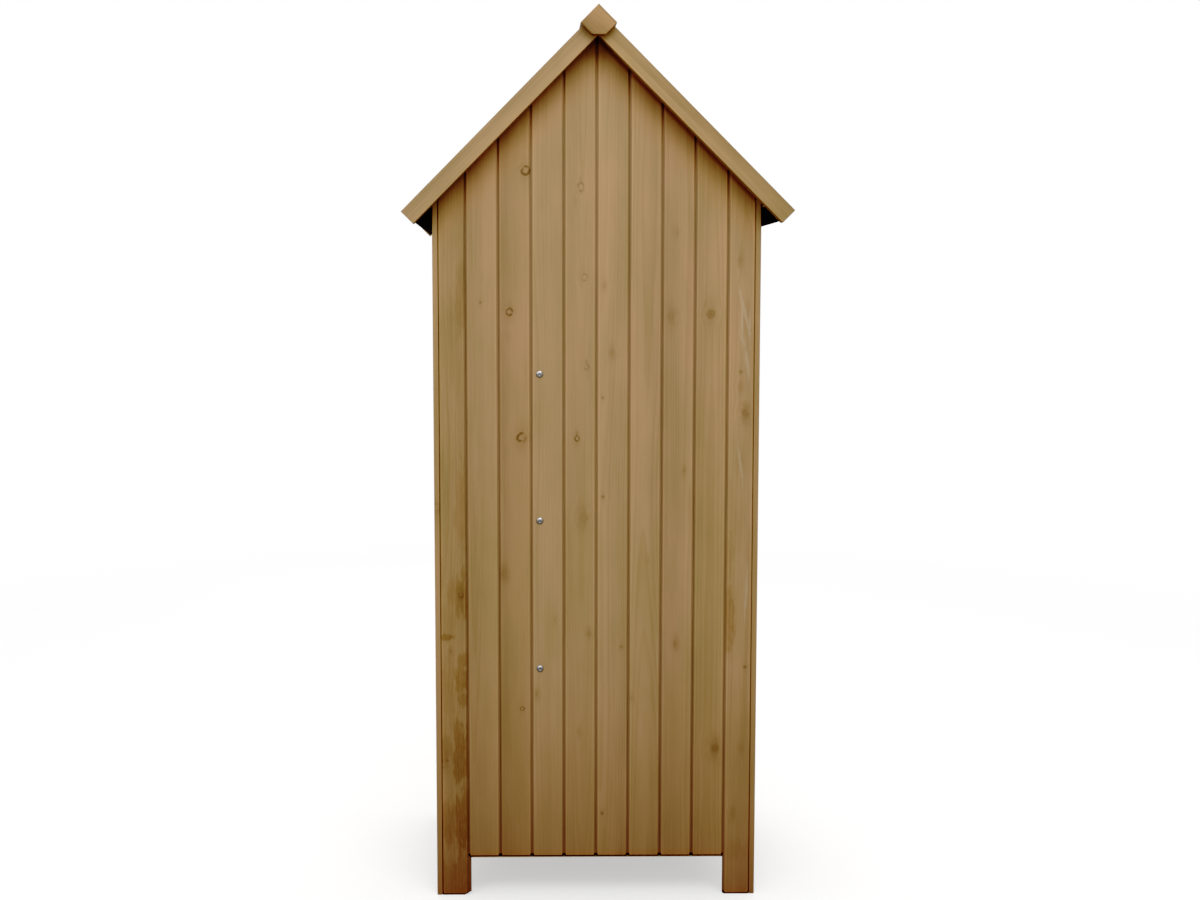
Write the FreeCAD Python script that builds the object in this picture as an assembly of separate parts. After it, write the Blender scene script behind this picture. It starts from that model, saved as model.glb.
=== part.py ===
import FreeCAD, Part
import math
import os

# Tall garden storage cabinet: a narrow timber hut with a 45 degree felted roof.
# Frame: millimetres, +Z up, origin at the middle of the base on the ground.
# The door is on the -Y side, the plain boarded back is on the +Y side.
# "left" and "right" are as seen by someone who faces the door, so left is -X.

os.makedirs("parts", exist_ok=True)
V = FreeCAD.Vector

# ------------------------------------------------------------------ driving sizes
H_TOTAL = 1790.0        # ground to the tip of the finials
ROOF_W = 770.0          # eave tip to eave tip
ROOF_D = 542.0          # finial face to finial face
BODY_W = 654.0          # outside of the side walls
BODY_D = 428.0          # outside of the back boards to outside of the front stiles
T = 10.0                # tongue and groove board thickness
T_SIDE = 10.5           # side wall board thickness
PITCH = 65.5            # cover width of one back board
N_BACK = 8
SIDE_LEG = 51.0         # width of the side boards that run to the ground
SIDE_PITCH = 65.2
N_SIDE = 5
BOARD_BOTTOM = 81.0     # underside of the boards that stop short of the ground
DOOR_BOTTOM = 84.0
DOOR_TOP = 1352.0
DOOR_GAP = 3.0
GABLE_BOTTOM = 1355.0

# tongue and groove profile
VC, VD = 3.9, 2.8       # V joint: width and depth of each board's bevel
TT, TL = 3.0, 5.5       # tongue thickness and length
GC, GD = 0.15, 6.0      # clearance in the groove, groove depth
EDGE = 0.10             # half of the gap between two neighbouring boards

# roof, in slope coordinates: s runs down the slope from the ridge, n goes inwards
Z_RIDGE = 1782.5        # where the two upper edges of the barge boards meet
S_TIP = (ROOF_W / 2.0) * math.sqrt(2.0)
BARGE_W = 34.0
BARGE_T = 20.0
Y_BARGE = 255.0         # outer face of the barge boards
STRIP_N0, STRIP_N1 = 0.2, 2.0
FELT_N0, FELT_N1 = 2.2, 4.0
FELT_T = 1.8
RB_N0, RB_N1 = 4.2, 14.2
S_ROOF_END = 539.0
EAVE_N1 = 33.0
S_EAVE_IN = 497.0
Y_ROOF = 234.5          # half length of the roof boards and felt

# finial
FIN_SIDE = 50.0
FIN_Z_CUT = 1732.5
Y_FIN_BACK = 215.0

# carcass battens
POST = 24.0
RAIL_T = 20.0
RAIL_Z0, RAIL_Z1 = 74.5, 104.5
FLOOR_Z0, FLOOR_Z1 = 104.7, 114.7

# shelves: the levels of the three fixing screws seen on the back
X_DIV = 114.0
SHELF_SCREW_Z = (476.0, 780.0, 1076.5)
CLEAT_H = 30.0
SLAT_T = 12.0

# hinges and hasp
X_HINGE = -260.5
Y_HINGE = -217.8
KNUCKLE_R = 3.2
PIN_R = 1.5
PIN_BORE_R = 1.55
LEAF_H = 60.0
HINGE_Z = (170.0, 725.0, 1280.0)
HASP_Z = 960.0
X_HASP = 228.0
HANDLE_Z = 850.0
X_HANDLE = 232.0

R2 = math.sqrt(2.0)
Y_BACK = BODY_D / 2.0       # 214
Y_FRONT = -BODY_D / 2.0
X_OUT = BODY_W / 2.0        # 327
X_IN = X_OUT - T_SIDE       # 316.5
X_B = N_BACK * PITCH / 2.0  # 262


# ------------------------------------------------------------------ helpers
def box(x0, x1, y0, y1, z0, z1):
    return Part.makeBox(x1 - x0, y1 - y0, z1 - z0, V(x0, y0, z0))


def poly_prism(pts, vec):
    w = Part.makePolygon([V(*p) for p in pts] + [V(*pts[0])])
    return Part.Face(w).extrude(V(*vec))


def cyl(r, h, p, d):
    return Part.makeCylinder(r, h, V(*p), V(*d))


def export(name, shapes):
    if not isinstance(shapes, (list, tuple)):
        shapes = [shapes]
    solids = []
    for s in shapes:
        for q in s.Solids:
            if q.Volume < 0:
                q.reverse()
            solids.append(q)
    out = solids[0] if len(solids) == 1 else Part.makeCompound(solids)
    out.exportStep("parts/" + name + ".step")
    vol = sum(q.Volume for q in solids)
    ok = all(q.isValid() for q in solids)
    bb = out.BoundBox
    print("%-26s %3d solids %12.0f mm3 %s  X %.1f..%.1f  Y %.1f..%.1f  Z %.1f..%.1f" % (
        name, len(solids), vol, "ok" if ok else "INVALID",
        bb.XMin, bb.XMax, bb.YMin, bb.YMax, bb.ZMin, bb.ZMax))
    return out


def tg_profile(w, t, low="tongue", high="groove", low_ch=1.5, high_ch=1.5):
    """Section of one board as (u, n): u across its cover width, n from its face inwards."""
    tn0 = (t - TT) / 2.0
    tn1 = tn0 + TT
    a, b = EDGE, w - EDGE
    pts = []
    if low == "plain":
        pts += [(a + low_ch, 0), (a, low_ch), (a, t)]
    elif low == "tongue":
        pts += [(a + VC, 0), (a, VD), (a, tn0), (a - TL + 0.6, tn0), (a - TL, tn0 + 0.6),
                (a - TL, tn1 - 0.6), (a - TL + 0.6, tn1), (a, tn1), (a, t)]
    else:
        pts += [(a + VC, 0), (a, VD), (a, tn0 - GC), (a + GD, tn0 - GC), (a + GD, tn1 + GC),
                (a, tn1 + GC), (a, t)]
    if high == "plain":
        pts += [(b, t), (b, high_ch), (b - high_ch, 0)]
    elif high == "groove":
        pts += [(b, t), (b, tn1 + GC), (b - GD, tn1 + GC), (b - GD, tn0 - GC), (b, tn0 - GC),
                (b, VD), (b - VC, 0)]
    else:
        pts += [(b, t), (b, tn1), (b + TL - 0.6, tn1), (b + TL, tn1 - 0.6), (b + TL, tn0 + 0.6),
                (b + TL - 0.6, tn0), (b, tn0), (b, VD), (b - VC, 0)]
    return pts


def board_y(x0, w, y_face, sgn, z0, z1, t=T, **kw):
    """Upright board in a wall that faces +Y (sgn 1) or -Y (sgn -1)."""
    pts = [(x0 + u, y_face - sgn * n, z0) for u, n in tg_profile(w, t, **kw)]
    return poly_prism(pts, (0, 0, z1 - z0))


def board_x(y0, w, x_face, sgn, z0, z1, t=T_SIDE, **kw):
    """Upright board in a side wall that faces +X (sgn 1) or -X (sgn -1)."""
    pts = [(x_face - sgn * n, y0 + u, z0) for u, n in tg_profile(w, t, **kw)]
    return poly_prism(pts, (0, 0, z1 - z0))


def sn(s, n, side, y):
    """Slope coordinates to a point; side is +1 for the +X slope, -1 for the -X slope."""
    return (side * (s - n) / R2, y, Z_RIDGE - (s + n) / R2)


def slope_prism(sn_pts, side, y0, y1):
    return poly_prism([sn(s, n, side, y0) for s, n in sn_pts], (0, y1 - y0, 0))


def dome(r, h):
    """Lens shaped screw head on z = 0, crown up."""
    rs = (r * r + h * h) / (2.0 * h)
    mid_a = 0.5 * math.asin(min(1.0, r / rs))
    p0 = V(0, 0, h)
    p1 = V(rs * math.sin(mid_a), 0, h - rs + rs * math.cos(mid_a))
    p2 = V(r, 0, 0)
    arc = Part.Arc(p0, p1, p2).toShape()
    w = Part.Wire([arc, Part.LineSegment(p2, V(0, 0, 0)).toShape(),
                   Part.LineSegment(V(0, 0, 0), p0).toShape()])
    return Part.Face(w).revolve(V(0, 0, 0), V(0, 0, 1), 360)


def place(shape, p, d):
    """Turn a shape built along +Z so that its +Z points along d, then move it to p."""
    s = shape.copy()
    rot = FreeCAD.Rotation(V(0, 0, 1), V(*d))
    s.Placement = FreeCAD.Placement(V(*p), rot)
    return s


def screw(p, d, head_r, head_h, shank_r, length, rim=0.5, recess=1.3, cross=None):
    """Pan head wood screw; p is under the head on the surface, d points out of the wood."""
    h = Part.makeCylinder(head_r, rim, V(0, 0, 0)).fuse(
        dome(head_r - 0.02, head_h - rim).translated(V(0, 0, rim)))
    c = cross if cross else head_r * 0.62
    wv = head_r * 0.17
    cut = box(-c, c, -wv, wv, head_h - recess, head_h + 1).fuse(
        box(-wv, wv, -c, c, head_h - recess, head_h + 1))
    h = h.cut(cut)
    shank = Part.makeCylinder(shank_r, length - 3 * shank_r, V(0, 0, -(length - 3 * shank_r)))
    tip = Part.makeCone(0.25, shank_r, 3 * shank_r, V(0, 0, -length))
    s = h.fuse(shank).fuse(tip).removeSplitter()
    s = Part.makeSolid(s.Shells[0]) if s.ShapeType != "Solid" and len(s.Solids) == 1 else s
    return place(s, p, d)


def hole(p, d, r, length, start=2.0):
    """Cutter along a screw: starts just outside the surface and goes in by length."""
    return cyl(r, length + start, (p[0] + d[0] * start, p[1] + d[1] * start, p[2] + d[2] * start),
               (-d[0], -d[1], -d[2]))


def cut_all(shape, cutters):
    if not cutters:
        return shape
    return shape.cut(Part.makeCompound(cutters)) if len(cutters) > 1 else shape.cut(cutters[0])


# the space under the roof boards: walls and gables are trimmed to it
Z_UNDER = Z_RIDGE - RB_N1 * R2 - 0.3
under_roof = poly_prism([(-420, -300, -20), (420, -300, -20), (420, -300, Z_UNDER - 420),
                         (0, -300, Z_UNDER), (-420, -300, Z_UNDER - 420)], (0, 600, 0))

parts = {}

# ------------------------------------------------------------------ fixings, worked out first
# three truss head screws through the back into the rear divider post
back_screws = [((X_DIV, Y_BACK, z), (0, 1, 0)) for z in SHELF_SCREW_Z]

# hinge screws: frame leaves on the left stile, door leaves on the door
hinge_frame_screws, hinge_door_screws = [], []
for hz in HINGE_Z:
    for dx, dz in ((-12.0, -21.0), (-18.5, 0.0), (-12.0, 21.0)):
        hinge_frame_screws.append(((X_HINGE + dx, Y_FRONT - 1.6, hz + dz), (0, -1, 0)))
        hinge_door_screws.append(((X_HINGE - dx, Y_FRONT - 1.6, hz + dz), (0, -1, 0)))
hasp_screws = [((X_HASP - dx, Y_FRONT - 1.6, HASP_Z + dz), (0, -1, 0))
               for dx in (11.0, 27.0) for dz in (-9.0, 9.0)]
staple_screws = [((x, Y_FRONT - 1.6, HASP_Z + dz), (0, -1, 0))
                 for x in (270.0, 290.0) for dz in (-16.5, 16.5)]
handle_screws = [((X_HANDLE + dx, Y_FRONT - 2.1, HANDLE_Z + sz * 55.0), (0, -1, 0))
                 for sz in (-1, 1) for dx in (-8.5, 8.5)]

# ledge screws, driven from inside the door: one in the middle of each door board
DOOR_X0, DOOR_X1 = -X_B + DOOR_GAP, X_B - DOOR_GAP
DOOR_PITCH = (DOOR_X1 - DOOR_X0) / N_BACK
LEDGES = ((135.0, 205.0), (690.0, 760.0), (1245.0, 1315.0))
LEDGE_X = 250.0
LEDGE_T = 18.0
Y_DOOR_IN = Y_FRONT + T
Y_LEDGE_IN = Y_DOOR_IN + LEDGE_T
ledge_screws = []
for li, (z0, z1) in enumerate(LEDGES):
    for i in range(N_BACK):
        x = DOOR_X0 + DOOR_PITCH * (i + 0.5)
        if i == 0:
            x += 10.0
        zz = (z0 + z1) / 2.0 + (14.0 if i % 2 else -14.0)
        ledge_screws.append(((x, Y_LEDGE_IN, zz), (0, 1, 0)))

# ------------------------------------------------------------------ back wall
back_hole = [hole(p, d, 2.1, 32.0) for p, d in back_screws]
for i in range(N_BACK):
    x0 = -X_B + i * PITCH
    b = board_y(x0, PITCH, Y_BACK, 1, BOARD_BOTTOM, 1800.0).common(under_roof)
    if x0 < X_DIV < x0 + PITCH:
        b = cut_all(b, back_hole)
    parts["back_board_%d" % (i + 1)] = b

leg_w = X_IN - X_B
right_leg = board_y(X_B, leg_w, Y_BACK, 1, 0.0, 1800.0, low="tongue", high="plain",
                    high_ch=2.5).common(under_roof)
# its lower inner corner was sawn off at a slant
right_leg = right_leg.cut(poly_prism([(X_B - 8, 190, -1), (X_B + 8.8, 190, -1), (X_B + 8.8, 190, 0),
                                      (X_B - 8, 190, 6.8)], (0, 40, 0)))
left_leg = board_y(-X_IN, leg_w, Y_BACK, 1, 0.0, 1800.0, low="plain", high="groove",
                   low_ch=2.5).common(under_roof)
parts["back_leg_board_right"] = right_leg
parts["back_leg_board_left"] = left_leg

# ------------------------------------------------------------------ side walls
Z_SIDE_TOP = 1435.0
for nm, sg in (("left", -1), ("right", 1)):
    bl = []
    y = -Y_BACK
    bl.append(board_x(y, SIDE_LEG, sg * X_OUT, sg, 0.0, Z_SIDE_TOP, low="plain", high="groove"))
    y += SIDE_LEG
    for k in range(N_SIDE):
        bl.append(board_x(y, SIDE_PITCH, sg * X_OUT, sg, BOARD_BOTTOM, Z_SIDE_TOP))
        y += SIDE_PITCH
    bl.append(board_x(y, SIDE_LEG, sg * X_OUT, sg, 0.0, Z_SIDE_TOP, low="tongue", high="plain"))
    parts["side_boards_%s" % nm] = bl

# ------------------------------------------------------------------ front frame
stile_l = board_y(-X_IN, leg_w, Y_FRONT, -1, 0.0, 1800.0, low="plain", high="plain").common(under_roof)
stile_r = board_y(X_B, leg_w, Y_FRONT, -1, 0.0, 1800.0, low="plain", high="plain").common(under_roof)
parts["front_stile_left"] = cut_all(stile_l, [hole(p, d, 1.55, 17.0) for p, d in hinge_frame_screws])
parts["front_stile_right"] = cut_all(stile_r, [hole(p, d, 1.55, 17.0) for p, d in staple_screws])

gable = []
for i in range(N_BACK):
    x0 = -X_B + i * PITCH
    low = "plain" if i == 0 else "tongue"
    high = "plain" if i == N_BACK - 1 else "groove"
    gable.append(board_y(x0, PITCH, Y_FRONT, -1, GABLE_BOTTOM, 1800.0, low=low, high=high,
                         low_ch=2.0, high_ch=2.0).common(under_roof))
parts["front_gable_boards"] = gable

# ------------------------------------------------------------------ posts, stops and rails
PX = X_IN - 0.2
PY = Y_BACK - T - 0.2
parts["rear_corner_posts"] = [box(-PX, -PX + POST, PY - POST, PY, 0, 1430.0),
                              box(PX - POST, PX, PY - POST, PY, 0, 1430.0)]
parts["front_corner_posts"] = [box(-PX, -PX + POST, -PY, -PY + POST, 0, 1430.0),
                               box(PX - POST, PX, -PY, -PY + POST, 0, 1430.0)]
XS = PX - POST - 0.2          # 292.1
stop_l = box(-XS, -254.0, -PY, -PY + LEDGE_T, 105.0, 1334.0)
stop_r = box(254.0, XS, -PY, -PY + LEDGE_T, 105.0, 1334.0)
parts["door_stops"] = [cut_all(stop_l, [hole(p, d, 1.55, 17.0) for p, d in hinge_frame_screws]),
                       cut_all(stop_r, [hole(p, d, 1.55, 17.0) for p, d in staple_screws])]
parts["floor_frame"] = [
    box(-XS, XS, PY - RAIL_T, PY, RAIL_Z0, RAIL_Z1),
    box(-XS, XS, -PY, -PY + RAIL_T, RAIL_Z0, RAIL_Z1),
    box(-PX, -PX + RAIL_T, -PY + POST + 0.3, PY - POST - 0.3, RAIL_Z0, RAIL_Z1),
    box(PX - RAIL_T, PX, -PY + POST + 0.3, PY - POST - 0.3, RAIL_Z0, RAIL_Z1),
    box(-PX + RAIL_T + 0.3, PX - RAIL_T - 0.3, -10.0, 10.0, RAIL_Z0, RAIL_Z1)]
floor = []
fp = 2 * XS / 8.0
for i in range(8):
    fb = box(-XS + i * fp + 0.4, -XS + (i + 1) * fp - 0.4, -PY, PY, FLOOR_Z0, FLOOR_Z1)
    if i in (0, 7):
        # the outer boards clear the door stops
        fb = fb.cut(box(-XS - 5, -253.5, -PY - 5, -PY + LEDGE_T + 0.3, 100, 120)).cut(
            box(253.5, XS + 5, -PY - 5, -PY + LEDGE_T + 0.3, 100, 120))
    floor.append(fb)
for sg in (-1, 1):
    a, b = sorted((sg * (XS + 0.4), sg * (PX - 0.1)))
    floor.append(box(a, b, -PY + POST + 0.3, PY - POST - 0.3, FLOOR_Z0, FLOOR_Z1))
parts["floor_boards"] = floor

parts["back_top_rail"] = box(-XS, XS, PY - RAIL_T, PY, 1395.0, 1430.0)
parts["front_header_rail"] = box(-XS, XS, -PY, -PY + RAIL_T, 1334.5, 1386.0)
parts["wall_plates"] = [box(-PX, -PX + RAIL_T, -PY + POST + 0.3, PY - POST - 0.3, 1395.0, 1430.0),
                        box(PX - RAIL_T, PX, -PY + POST + 0.3, PY - POST - 0.3, 1395.0, 1430.0)]

# ------------------------------------------------------------------ roof
s_pl = 0.3
nail_list = []
for sg in (-1, 1):
    for s in (88.0, 170.0, 252.0, 334.0, 416.0, 495.0):
        for y in (-225.0, 225.0):
            nail_list.append((sg, s, y))
    for y in (-150.0, -50.0, 50.0, 150.0):
        nail_list.append((sg, 512.0, y))
strip_nails = [(sg, 50.0, y) for sg in (-1, 1) for y in (-190.0, -95.0, 0.0, 95.0, 190.0)]
NAIL_D = 1.25


def slope_normal(side):
    return (side / R2, 0.0, 1.0 / R2)


def nail_cutters(side, lst, n_top, depth):
    d = slope_normal(side)
    return [hole(sn(s, n_top, side, y), d, NAIL_D, depth) for sg, s, y in lst if sg == side]


for nm, side in (("left", -1), ("right", 1)):
    rb = []
    p_rb = S_ROOF_END / 8.0
    for k in range(8):
        a = k * p_rb
        b = a + p_rb
        t0 = RB_N0 + 3.5
        t1 = t0 + TT
        pts = []
        # upper edge: the first board is cut plumb at the ridge
        if k == 0:
            pts += [(RB_N0 + s_pl, RB_N0)]
        else:
            pts += [(a + 0.15, RB_N0), (a + 0.15, t0), (a - 4.6, t0), (a - 4.6, t1), (a + 0.15, t1),
                    (a + 0.15, RB_N1 - 2.0), (a + 2.2, RB_N1)]
        if k == 7:
            low = [(b, RB_N0), (b, RB_N1)]
        else:
            low = [(b - 0.15, RB_N0), (b - 0.15, t0 - 0.15), (b - 5.4, t0 - 0.15), (b - 5.4, t1 + 0.15),
                   (b - 0.15, t1 + 0.15), (b - 0.15, RB_N1 - 2.0), (b - 2.2, RB_N1)]
        if k == 0:
            ring = pts + low + [(RB_N1 + s_pl, RB_N1)]
        else:
            ring = [pts[0]] + low + list(reversed(pts[1:]))
        q = slope_prism(ring, side, -Y_ROOF, Y_ROOF)
        cs = [c for c in nail_cutters(side, [n for n in nail_list + strip_nails
                                              if a - 8 < n[1] < b + 8], FELT_N0, 16.0)]
        q = cut_all(q, cs)
        rb.append(q)
    parts["roof_boards_%s" % nm] = rb

    felt = slope_prism([(FELT_N0 + s_pl, FELT_N0), (S_ROOF_END + 2.0, FELT_N0),
                        (S_ROOF_END + 2.0, EAVE_N1 + 2.0), (S_EAVE_IN + 2.0, EAVE_N1 + 2.0),
                        (S_EAVE_IN + 2.0, EAVE_N1 + 0.2), (S_ROOF_END + 0.2, EAVE_N1 + 0.2),
                        (S_ROOF_END + 0.2, FELT_N1), (FELT_N1 + s_pl, FELT_N1)], side, -Y_ROOF, Y_ROOF)
    felt = cut_all(felt, nail_cutters(side, nail_list + strip_nails, FELT_N0, 3.0))
    parts["roof_felt_%s" % nm] = felt

strip_ring_r = [(STRIP_N0, STRIP_N0), (75.0, STRIP_N0), (75.0, STRIP_N1), (STRIP_N1, STRIP_N1)]
strip = slope_prism(strip_ring_r, 1, -Y_ROOF, Y_ROOF).fuse(
    slope_prism(strip_ring_r, -1, -Y_ROOF, Y_ROOF)).removeSplitter()
for side in (-1, 1):
    strip = cut_all(strip, nail_cutters(side, strip_nails, STRIP_N0, 3.0))
parts["ridge_felt_strip"] = strip


def clout(side, s, n_top, y, length):
    """Clout nail: flat round head on the felt, short shank into the boards."""
    d = slope_normal(side)
    head = Part.makeCylinder(4.0, 0.9, V(0, 0, 0.02))
    head = head.makeChamfer(0.25, [head.Edges[i] for i in range(len(head.Edges))
                                   if abs(head.Edges[i].BoundBox.ZMin - 0.92) < 1e-3
                                   and abs(head.Edges[i].BoundBox.ZMax - 0.92) < 1e-3][:1])
    sh = Part.makeCylinder(1.15, length, V(0, 0, -length + 0.1))
    return place(head.fuse(sh), sn(s, n_top, side, y), d)


parts["felt_nails"] = ([clout(sg, s, FELT_N0, y, 11.0) for sg, s, y in nail_list] +
                       [clout(sg, s, STRIP_N0, y, 12.0) for sg, s, y in strip_nails])

eaves = []
for side in (-1, 1):
    e = slope_prism([(S_EAVE_IN, RB_N1 + 0.1), (S_ROOF_END, RB_N1 + 0.1),
                     (S_ROOF_END, EAVE_N1), (S_EAVE_IN, EAVE_N1)], side, -Y_ROOF, Y_ROOF)
    eaves.append(cut_all(e, nail_cutters(side, [n for n in nail_list if n[1] > 490], FELT_N0, 16.0)))
parts["eave_battens"] = eaves
parts["ridge_beam"] = box(-12, 12, -PY + 20.3, PY - 20.3, 1708.0, Z_UNDER - 12.2)

rafters = []
for side in (-1, 1):
    for y0, y1 in ((PY - RAIL_T, PY), (-PY, -PY + RAIL_T)):
        r = slope_prism([(RB_N1 + 0.6, RB_N1 + 0.3), (425.0, RB_N1 + 0.3), (425.0, RB_N1 + 25.0),
                         (RB_N1 + 25.3, RB_N1 + 25.0)], side, y0, y1)
        rafters.append(r)
parts["gable_rafters"] = rafters

for nm, side in (("left", -1), ("right", 1)):
    for face, y0, y1 in (("rear", Y_BARGE - BARGE_T, Y_BARGE), ("front", -Y_BARGE, -Y_BARGE + BARGE_T)):
        parts["barge_board_%s_%s" % (face, nm)] = slope_prism(
            [(0.25, 0), (S_TIP, 0), (S_TIP, BARGE_W), (BARGE_W + 0.25, BARGE_W)], side, y0, y1)

hd = FIN_SIDE / R2
zc = H_TOTAL - hd
zb = zc - hd
xc = FIN_Z_CUT - zb
for face, sg in (("rear", 1), ("front", -1)):
    y0, y1 = Y_BARGE + 0.1, ROOF_D / 2.0
    front = poly_prism([(0, sg * y0, H_TOTAL), (hd, sg * y0, zc), (xc, sg * y0, FIN_Z_CUT),
                        (-xc, sg * y0, FIN_Z_CUT), (-hd, sg * y0, zc)], (0, sg * (y1 - y0), 0))
    zi = Z_RIDGE + 0.2
    xi = (zi - zb) / 2.0
    cap = poly_prism([(0, sg * Y_FIN_BACK, H_TOTAL), (hd, sg * Y_FIN_BACK, zc),
                      (xi, sg * Y_FIN_BACK, zi - xi), (0, sg * Y_FIN_BACK, zi),
                      (-xi, sg * Y_FIN_BACK, zi - xi), (-hd, sg * Y_FIN_BACK, zc)],
                     (0, sg * (y0 - Y_FIN_BACK + 0.5), 0))
    parts["finial_%s" % face] = front.fuse(cap).removeSplitter()

# ------------------------------------------------------------------ divider, cleats, shelves
UX0, UX1 = X_DIV - 12.0, X_DIV + 12.0
up_r = cut_all(box(UX0, UX1, PY - POST, PY, FLOOR_Z1 + 0.1, 1394.5), back_hole)
Y_UF0 = -182.0
up_f = box(UX0, UX1, Y_UF0, Y_UF0 + POST, FLOOR_Z1 + 0.1, 1120.0)
parts["divider_uprights"] = [up_r, up_f]

cleats = []
shelf_names = ("shelf_lower", "shelf_middle", "shelf_upper")
slat_y = ((-172.0, -104.0), (-98.0, -30.0), (-24.0, 44.0), (50.0, 118.0), (124.0, PY - 0.3))
for nm, zsc in zip(shelf_names, SHELF_SCREW_Z):
    z0, z1 = zsc - CLEAT_H / 2.0, zsc + CLEAT_H / 2.0
    cleats.append(box(-PX, -PX + 18.0, -PY + POST + 0.3, PY - POST - 0.3, z0, z1))
    cleats.append(box(UX0 - 18.0, UX0 - 0.1, Y_UF0, PY - 0.2, z0, z1))
    cleats.append(box(-XS, UX0 - 18.4, PY - RAIL_T, PY, z0, z1))
    slats = []
    for ya, yb in slat_y:
        sl = box(-PX + 0.3, UX0 - 0.4, ya, yb, z1 + 0.1, z1 + 0.1 + SLAT_T)
        sl = sl.cut(box(-PX - 5, -PX + POST + 0.4, PY - POST - 0.4, PY + 5, z1 - 1, z1 + 20))
        slats.append(sl)
    parts[nm] = slats
parts["shelf_cleats"] = cleats

# tool rail and hooks on the back wall of the tall bay
RAIL_HZ = 1245.0
hook_x = (160.0, 210.0, 260.0)
rail = box(UX1 + 0.4, XS, PY - RAIL_T, PY, RAIL_HZ - 20.0, RAIL_HZ + 20.0)
rail = cut_all(rail, [cyl(1.65, 13.0, (x, PY - RAIL_T - 0.5, RAIL_HZ + 4), (0, 1, 0)) for x in hook_x])
parts["tool_rail"] = rail


def hook(x):
    yr = PY - RAIL_T
    z = RAIL_HZ + 4
    p = [V(x, yr + 12.0, z), V(x, yr - 8.0, z)]
    e = [Part.LineSegment(p[0], p[1]).toShape()]
    r = 7.0
    c = V(x, yr - 8.0, z - r)
    a1 = Part.Arc(p[1], V(x, c.y - r * math.sin(math.pi / 4), c.z + r * math.cos(math.pi / 4)),
                  V(x, yr - 8.0 - r, z - r)).toShape()
    e.append(a1)
    q0 = V(x, yr - 15.0, z - r)
    q1 = V(x, yr - 15.0, z - r - 12.0)
    e.append(Part.LineSegment(q0, q1).toShape())
    r2 = 9.0
    q2 = V(x, q1.y - 2 * r2, q1.z)
    e.append(Part.Arc(q1, V(x, q1.y - r2, q1.z - r2), q2).toShape())
    q3 = V(x, q2.y, q2.z + 9.0)
    e.append(Part.LineSegment(q2, q3).toShape())
    path = Part.Wire(e)
    prof = Part.Wire([Part.Circle(p[0], V(0, -1, 0), 1.6).toShape()])
    body = path.makePipeShell([prof], True, False)
    tip = Part.makeSphere(1.6, q3)
    collar = Part.makeCylinder(4.5, 1.2, V(x, yr - 0.05, z), V(0, -1, 0))
    return body.fuse(tip).fuse(collar).removeSplitter()


parts["tool_hooks"] = [hook(x) for x in hook_x]

# ------------------------------------------------------------------ door
door_cut = ([hole(p, d, 1.55, 17.0) for p, d in hinge_door_screws + hasp_screws + handle_screws] +
            [hole(p, d, 1.55, 26.0) for p, d in ledge_screws])
door = []
for i in range(N_BACK):
    x0 = DOOR_X0 + i * DOOR_PITCH
    low = "plain" if i == 0 else "tongue"
    high = "plain" if i == N_BACK - 1 else "groove"
    b = board_y(x0, DOOR_PITCH, Y_FRONT, -1, DOOR_BOTTOM, DOOR_TOP, low=low, high=high,
                low_ch=2.0, high_ch=2.0)
    cs = [c for c in door_cut if x0 - 8 < c.CenterOfMass.x < x0 + DOOR_PITCH + 8]
    door.append(cut_all(b, cs))
parts["door_boards"] = door
ledges = []
for z0, z1 in LEDGES:
    lb = poly_prism([(-LEDGE_X, Y_DOOR_IN + 0.05, z0), (LEDGE_X, Y_DOOR_IN + 0.05, z0),
                     (LEDGE_X, Y_DOOR_IN + 0.05, z1), (-LEDGE_X, Y_DOOR_IN + 0.05, z1)],
                    (0, LEDGE_T - 0.05, 0))
    cs = [c for c in door_cut if z0 - 3 < c.CenterOfMass.z < z1 + 3]
    ledges.append(cut_all(lb, cs))
parts["door_ledges"] = ledges
braces = []
for (zl, zh) in ((LEDGES[0][1] + 0.3, LEDGES[1][0] - 0.3), (LEDGES[1][1] + 0.3, LEDGES[2][0] - 0.3)):
    # the foot of each brace stands at the hinge side, its head reaches to the lock side
    xl, xh, w = -225.0, 225.0, 62.0
    L = math.hypot(xh - xl - w, zh - zl)
    braces.append(poly_prism([(xl, Y_DOOR_IN + 0.05, zl), (xl + w * 1.3, Y_DOOR_IN + 0.05, zl),
                              (xh, Y_DOOR_IN + 0.05, zh), (xh - w * 1.3, Y_DOOR_IN + 0.05, zh)],
                             (0, LEDGE_T - 0.05, 0)))
parts["door_braces"] = braces
parts["door_ledge_screws"] = [screw(p, d, 3.6, 2.2, 1.5, 24.0, recess=1.0) for p, d in ledge_screws]

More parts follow.
